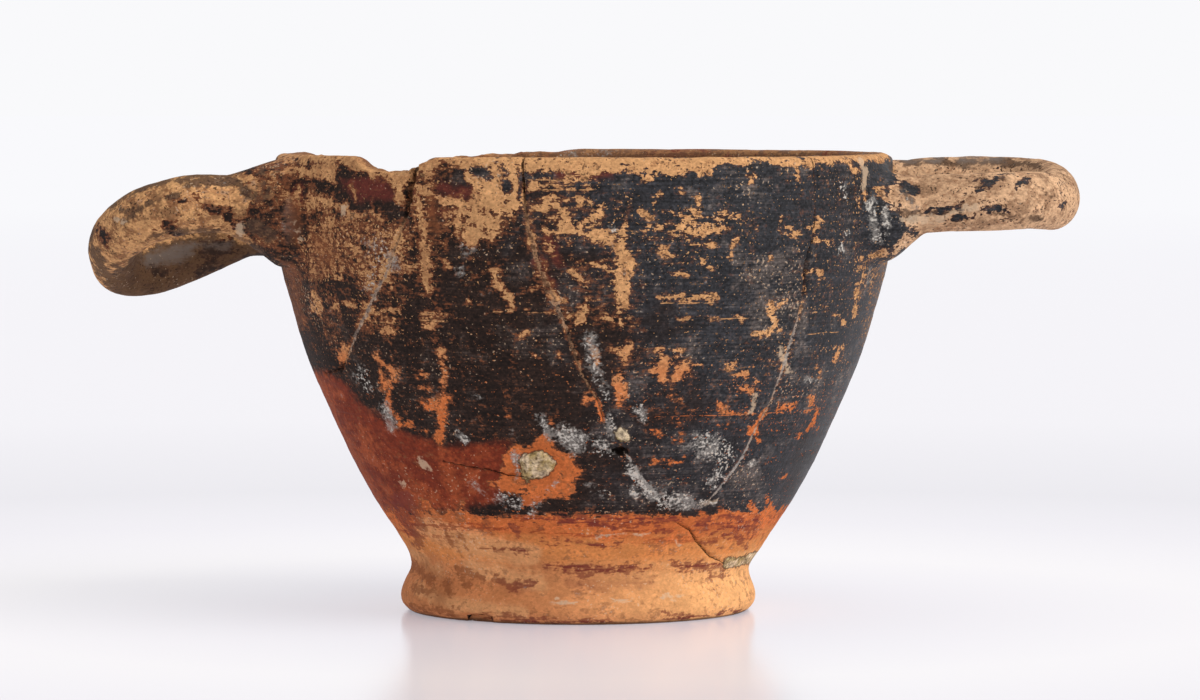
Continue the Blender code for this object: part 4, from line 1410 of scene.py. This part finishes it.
def bare_share(net, noises, joins):
    """Two shares: how surely the clay is bare, and how surely the gloss is at least worn thin."""
    mark = net.mark("bare")
    wear = net.mark("wear")
    depth = net.rise(noises.over(mark, mottle=2.0, ragged=1.1, dashes=0.7), -0.6, 0.9)
    field = net.sum(wear, (depth, net.sum(BARE_LEVEL, (wear, -1.0))), (net.rise(mark, 1.5, 2.5), 0.35))
    field = noises.over(field, dashes=0.65, ragged=0.9, crumbs=0.85, columns=0.55)
    field = net.sum(field, (joins, 0.20))
    bare = net.rise(field, 0.575, 0.625)
    flecks = noises.over(net.sum(noises.specks, (wear, 0.26)), lines=0.3)
    bare = net.most(bare, net.rise(flecks, 0.25, 0.28))
    bare = net.most(bare, scratch_share(net, noises, SCRATCHES))
    return bare, net.most(bare, net.rise(net.sum(field, (net.mark("tone_and_sheen"), -0.08)), 0.25, 0.56))


def scratch_share(net, noises, scratches):
    """How surely each place lies in one of these fine level scratches. They break up here and there."""
    level = noises.over(noises.height, mottle=0.6, grain=0.12)
    share = 0.0
    for left, right, down, thickness in scratches:
        ends = [on_wall(across, down) for across in (left, right)]
        start, stop = [AXIS_X + outer_radius(height) * math.cos(angle) for angle, height in ends]
        middle = (start + stop) / 2
        half = (stop - start) / 2
        height = (ends[0][1] + ends[1][1]) / 2
        near = net.fall(net.off(level, height), 0.25 * thickness, 0.75 * thickness)
        share = net.most(share, net.times(near, net.fall(net.off(noises.across, middle), half - 1.0, half)))
    share = net.times(share, net.fall(noises.deep, -12.0, -6.0))
    return net.times(share, net.rise(noises.over(noises.dashes, ragged=0.8), -0.06, 0.04))


def join_layer(net, noises, number):
    """One join: how surely it is there, its colour and how close it is. A filled join breaks up in places."""
    across, strength, filling = net.mark_row(f"join_{number}")
    reach = net.size(noises.over(across, ragged=4.0, crumbs=3.4))
    whole = net.rise(net.sum(noises.over(noises.mottle, ragged=1.2), (filling, -0.07)), -0.34, -0.18)
    line = net.times(net.fall(reach, 0.7, 1.2), net.times(strength, whole))
    mortar = net.mix(net.rise(noises.over(noises.crumbs, mottle=0.8), -0.14, 0.14), JOIN_BROWN, JOIN_TAN)
    finish = net.mix(net.rise(filling, 0.2, 0.9), HOLE_DARK, mortar)
    finish = net.mix(net.rise(filling, 1.1, 1.9), finish, LIME_GREY)
    near = net.times(net.fall(net.size(across), 1.0, 5.0), strength)
    return line, finish, near


def with_soot_and_shade(net, noises, finish, bare):
    """The finish with soot and painted shade on the handles, and dark dirt in the bare clay."""
    # Soot, and painted shade on the left handle's back arm and in its crease
    soot_and_shade = net.rise(noises.over(net.mark("soot_and_shade"), mottle=3.4, ragged=2.0), -0.25, 0.4)
    soot_and_shade_tint = net.mix(net.rise(noises.ragged, -0.12, 0.2), SOOT_AND_SHADE_DARK, SOOT_AND_SHADE_BROWN)
    finish = net.cover(finish, soot_and_shade_tint, soot_and_shade, net.times(net.mark("handle"), 0.84))
    dirt = net.rise(noises.over(noises.specks, mottle=1.1, ragged=0.5), 0.17, 0.25)
    dirt = net.times(dirt, net.rise(noises.height, 14.0, 30.0, 0.15, 0.7))
    return net.cover(finish, DARK_DIRT_AND_SHADE, dirt, bare)


def with_smears(net, noises, finish):
    """The finish with smears of dirt, ash and dilute gloss, grey painted sheen on the left handle, pale marks
    and painted glints, and painted shade on the edge it rests on.
    """
    low_left = net.times(net.fall(noises.across, -31.0, -26.0), net.rise(noises.height, 10.0, 13.0))
    low_left = net.times(low_left, net.fall(noises.height, 22.0, 28.0))
    colour = net.mix(net.most(net.rise(noises.across, -22.0, -8.0), low_left), SMEAR_BROWN, STREAK_RED)
    smear = net.rise(noises.over(net.mark("smear"), ragged=2.2, dashes=1.8, mottle=2.0), -0.5, 1.4)
    # On the handles the smears are grey: ash, and painted sheen on the left loop
    tint = net.mix(net.mark("handle"), colour, ASH_AND_SHEEN_GREY)
    finish = net.cover(finish, tint, smear, net.sum(0.42, (net.mark("handle"), 0.43)))
    smudge = net.rise(noises.over(net.mark("smudge"), ragged=2.2, dashes=1.8, grain=0.9), -0.35, 0.15)
    finish = net.cover(finish, colour, smudge, 0.66)
    finish = net.cover(finish, colour, scratch_share(net, noises, RED_SCRATCHES), 0.75)
    # The pale marks and pale scratches include painted glints on the foot
    pale = net.rise(noises.over(net.mark("pale"), ragged=1.8, grain=0.8), -0.2, 0.3)
    finish = net.cover(finish, PALE_CLAY_AND_GLINT, net.most(pale, scratch_share(net, noises, PALE_SCRATCHES_AND_GLINTS)), 0.66)
    # Painted shade: the foot's lowest 0.75 mm, where it rests on the table, is darkened
    return net.cover(finish, DARK_DIRT_AND_SHADE, net.fall(noises.over(noises.height, mottle=0.8), 0.25, 0.75), 0.75)


def with_lime(net, noises, finish):
    """The finish under whitish deposits and dust, and how strong the thin haze and the crust are."""
    lime = net.mark("lime")
    haze = net.rise(noises.over(lime, mottle=1.1, ragged=0.7, grain=0.8), 0.24, 0.6)
    finish = net.cover(finish, LIME_GREY, haze, 0.56)
    crust = net.rise(noises.over(lime, ragged=0.6, crumbs=0.7, grain=1.2, specks=0.6), 0.5, 0.64)
    finish = net.cover(finish, LIME_WHITE, crust, 0.72)
    dust = net.rise(noises.over(noises.grain, specks=0.8, clouds=0.8), 0.29, 0.34)
    return net.cover(finish, PALE_CLAY_AND_GLINT, dust, 0.5), haze, crust


def with_lumps(net, noises, finish):
    """The finish with the yellowish lumps on it, dark round their edges, and where the lumps are."""
    depth = noises.over(net.mark("lump"), ragged=1.6)
    lump = net.rise(depth, -0.1, 0.15)
    colour = net.mix(net.rise(noises.blotches, -0.1, 0.1), LUMP_WHITE, LUMP_YELLOW)
    finish = net.cover(finish, noises.shaded(colour, crumbs=3.2, ragged=2.0), lump, 0.95)
    return net.cover(finish, DARK_DIRT_AND_SHADE, net.fall(net.size(depth), 0.05, 0.25), 0.7), lump


def cup_material():
    """Gloss over clay, then dirt, smears, lime, lumps and joins over both, with roughness and relief."""
    net = Net("black_gloss_on_clay")
    noises = Noises(net)
    joins = [join_layer(net, noises, number) for number in range(len(JOINS))]
    near_joins = joins[0][2]
    for _, _, near in joins[1:]:
        near_joins = net.most(near_joins, near)
    bare, thin = bare_share(net, noises, near_joins)

    tone_and_sheen = net.mark("tone_and_sheen")
    gloss = net.cover(gloss_colour(net, noises), WORN_BROWN, thin, net.sum(0.9, (tone_and_sheen, -0.5)))
    finish = net.mix(bare, gloss, clay_colour(net, noises))
    inner = net.times(net.mark("inner"), net.rise(noises.height, 60.0, 76.0))
    finish = net.cover(finish, INNER_BROWN, inner, 0.75)
    finish = with_smears(net, noises, with_soot_and_shade(net, noises, finish, bare))
    finish, haze, crust = with_lime(net, noises, finish)
    finish, lump = with_lumps(net, noises, finish)
    for line, colour, _ in joins:
        finish = net.cover(finish, noises.shaded(colour, crumbs=2.4), line, 0.85)
    # Painted shade: the slot and the nick in the foot are darkened as shade in their hollows
    finish = net.mix(net.rise(net.mark("hollow"), -0.1, 0.1), finish, HOLE_DARK)
    net.feed(net.shader.inputs["Base Color"], finish)

    dull = net.most(net.most(net.most(bare, haze), lump), net.sum(0.6, (tone_and_sheen, -0.6)))
    roughness = noises.over(net.rise(dull, 0.0, 1.0, 0.48, 0.88), grain=0.3, lines=0.3)
    net.feed(net.shader.inputs["Roughness"], roughness)
    net.shader.inputs["Specular IOR Level"].default_value = GLOSS_SPECULAR
    relief = noises.over(net.times(bare, -0.06), grain=0.07, lines=0.04)
    relief = net.sum(relief, (haze, 0.02), (crust, 0.09), (net.times(bare, noises.ragged), 0.14))
    relief = noises.over(relief, ragged=0.05, mottle=0.06)
    bump = net.node("Bump")
    bump.inputs["Strength"].default_value = 1.0
    bump.inputs["Distance"].default_value = MM
    net.feed(bump.inputs["Height"], relief)
    net.feed(net.shader.inputs["Normal"], bump.outputs[0])
    return net.material


def add_cup():
    """The whole cup, which stands for the CAD model's one solid."""
    mesh = joined_cup()
    fill_corners(mesh)
    shape_surface(mesh)
    surface_marks(mesh)
    mesh.shade_smooth()
    mesh.materials.append(cup_material())
    cup = add_object("cup", mesh)
    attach(cup, "root")
    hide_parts("skyphos")


def add_table():
    """A pale, slightly glossy table top that runs on to the horizon. It glows, to keep its shadows soft."""
    shape = bmesh.new()
    bmesh.ops.create_circle(shape, cap_ends=True, radius=TABLE_RADIUS, segments=TABLE_SIDES)
    mesh = bpy.data.meshes.new("table")
    shape.to_mesh(mesh)
    shape.free()
    net = Net("table_top")
    place = net.node("TexCoord").outputs["Object"]
    reach = net.node("VectorMath", place, operation="LENGTH").outputs["Value"]
    # The ramp's first stop paints shade round the cup's foot
    ramp = net.node("ValToRGB", net.node("Math", reach, TABLE_REACH, operation="DIVIDE").outputs[0])
    stops = ramp.color_ramp.elements
    while len(stops) < len(TABLE_TINTS):
        stops.new(0.5)
    for stop, (distance, tint) in zip(stops, TABLE_TINTS):
        stop.position = distance / TABLE_REACH
        stop.color = linear(tint)
    net.feed(net.shader.inputs["Base Color"], ramp.outputs[0])
    net.shader.inputs["Roughness"].default_value = TABLE_ROUGHNESS
    net.shader.inputs["Specular IOR Level"].default_value = TABLE_SPECULAR
    net.shader.inputs["Specular Tint"].default_value = linear(TABLE_SHEEN_TINT)
    glow = net.node("Emission")
    net.feed(glow.inputs["Color"], ramp.outputs[0])
    mix = net.node("MixShader", net.rise(reach, *GLOW_RISE, TABLE_GLOW, 1.0))
    net.feed(mix.inputs[1], net.shader.outputs[0])
    net.feed(mix.inputs[2], glow.outputs[0])
    net.feed(net.tree.nodes["Material Output"].inputs["Surface"], mix.outputs[0])
    mesh.materials.append(net.material)
    add_object("table", mesh)


def add_world():
    """Even pale studio light, brightest at the horizon, with a near-white backdrop for the camera."""
    world = bpy.data.worlds.new("studio")
    bpy.context.scene.world = world
    world.use_nodes = True
    tree = world.node_tree
    light = tree.nodes["Background"]
    light.inputs["Color"].default_value = WORLD_TINT
    direction = tree.nodes.new("ShaderNodeTexCoord")
    parts = tree.nodes.new("ShaderNodeSeparateXYZ")
    tree.links.new(direction.outputs["Generated"], parts.inputs[0])
    level = tree.nodes.new("ShaderNodeMapRange")
    level.interpolation_type = "SMOOTHSTEP"
    for socket, value in zip(level.inputs[1:5], (*HORIZON_RISE, HORIZON_LIGHT, WORLD_LIGHT)):
        socket.default_value = value
    tree.links.new(parts.outputs["Z"], level.inputs["Value"])
    tree.links.new(level.outputs[0], light.inputs["Strength"])
    backdrop = tree.nodes.new("ShaderNodeBackground")
    backdrop.inputs["Color"].default_value = linear(WORLD_SEEN)
    path = tree.nodes.new("ShaderNodeLightPath")
    mix = tree.nodes.new("ShaderNodeMixShader")
    tree.links.new(path.outputs["Is Camera Ray"], mix.inputs[0])
    tree.links.new(light.outputs[0], mix.inputs[1])
    tree.links.new(backdrop.outputs[0], mix.inputs[2])
    tree.links.new(mix.outputs[0], tree.nodes["World Output"].inputs["Surface"])


def add_camera():
    """The photograph's camera: straight on, and looking down a little."""
    data = bpy.data.cameras.new("camera")
    data.lens = CAMERA_LENS
    data.sensor_width = SENSOR_WIDTH
    data.clip_start = NEAREST_SEEN
    data.clip_end = FARTHEST_SEEN
    camera = bpy.data.objects.new("camera", data)
    camera.location = Vector(CAMERA_PLACE) * MM
    camera.rotation_euler = (math.pi / 2 - CAMERA_DIP, 0.0, 0.0)
    bpy.context.scene.collection.objects.link(camera)
    bpy.context.scene.camera = camera


def add_sun(name, strength, width_degrees, azimuth_degrees, height_degrees, tint):
    """A soft light from far off, from this azimuth anticlockwise from +X and this height above the table."""
    data = bpy.data.lights.new(name, "SUN")
    data.energy = strength
    data.angle = math.radians(width_degrees)
    data.color = tint
    lamp = bpy.data.objects.new(name, data)
    azimuth = math.radians(azimuth_degrees)
    height = math.radians(height_degrees)
    level = math.cos(height)
    towards = Vector((math.cos(azimuth) * level, math.sin(azimuth) * level, math.sin(height)))
    lamp.rotation_euler = towards.to_track_quat("Z", "Y").to_euler()
    bpy.context.scene.collection.objects.link(lamp)


add_camera()
add_cup()
add_table()
add_world()
add_sun("key", *KEY_SUN)
add_sun("fill", *FILL_SUN)
add_sun("top", *TOP_SUN)
bpy.context.scene.view_settings.view_transform = "Standard"
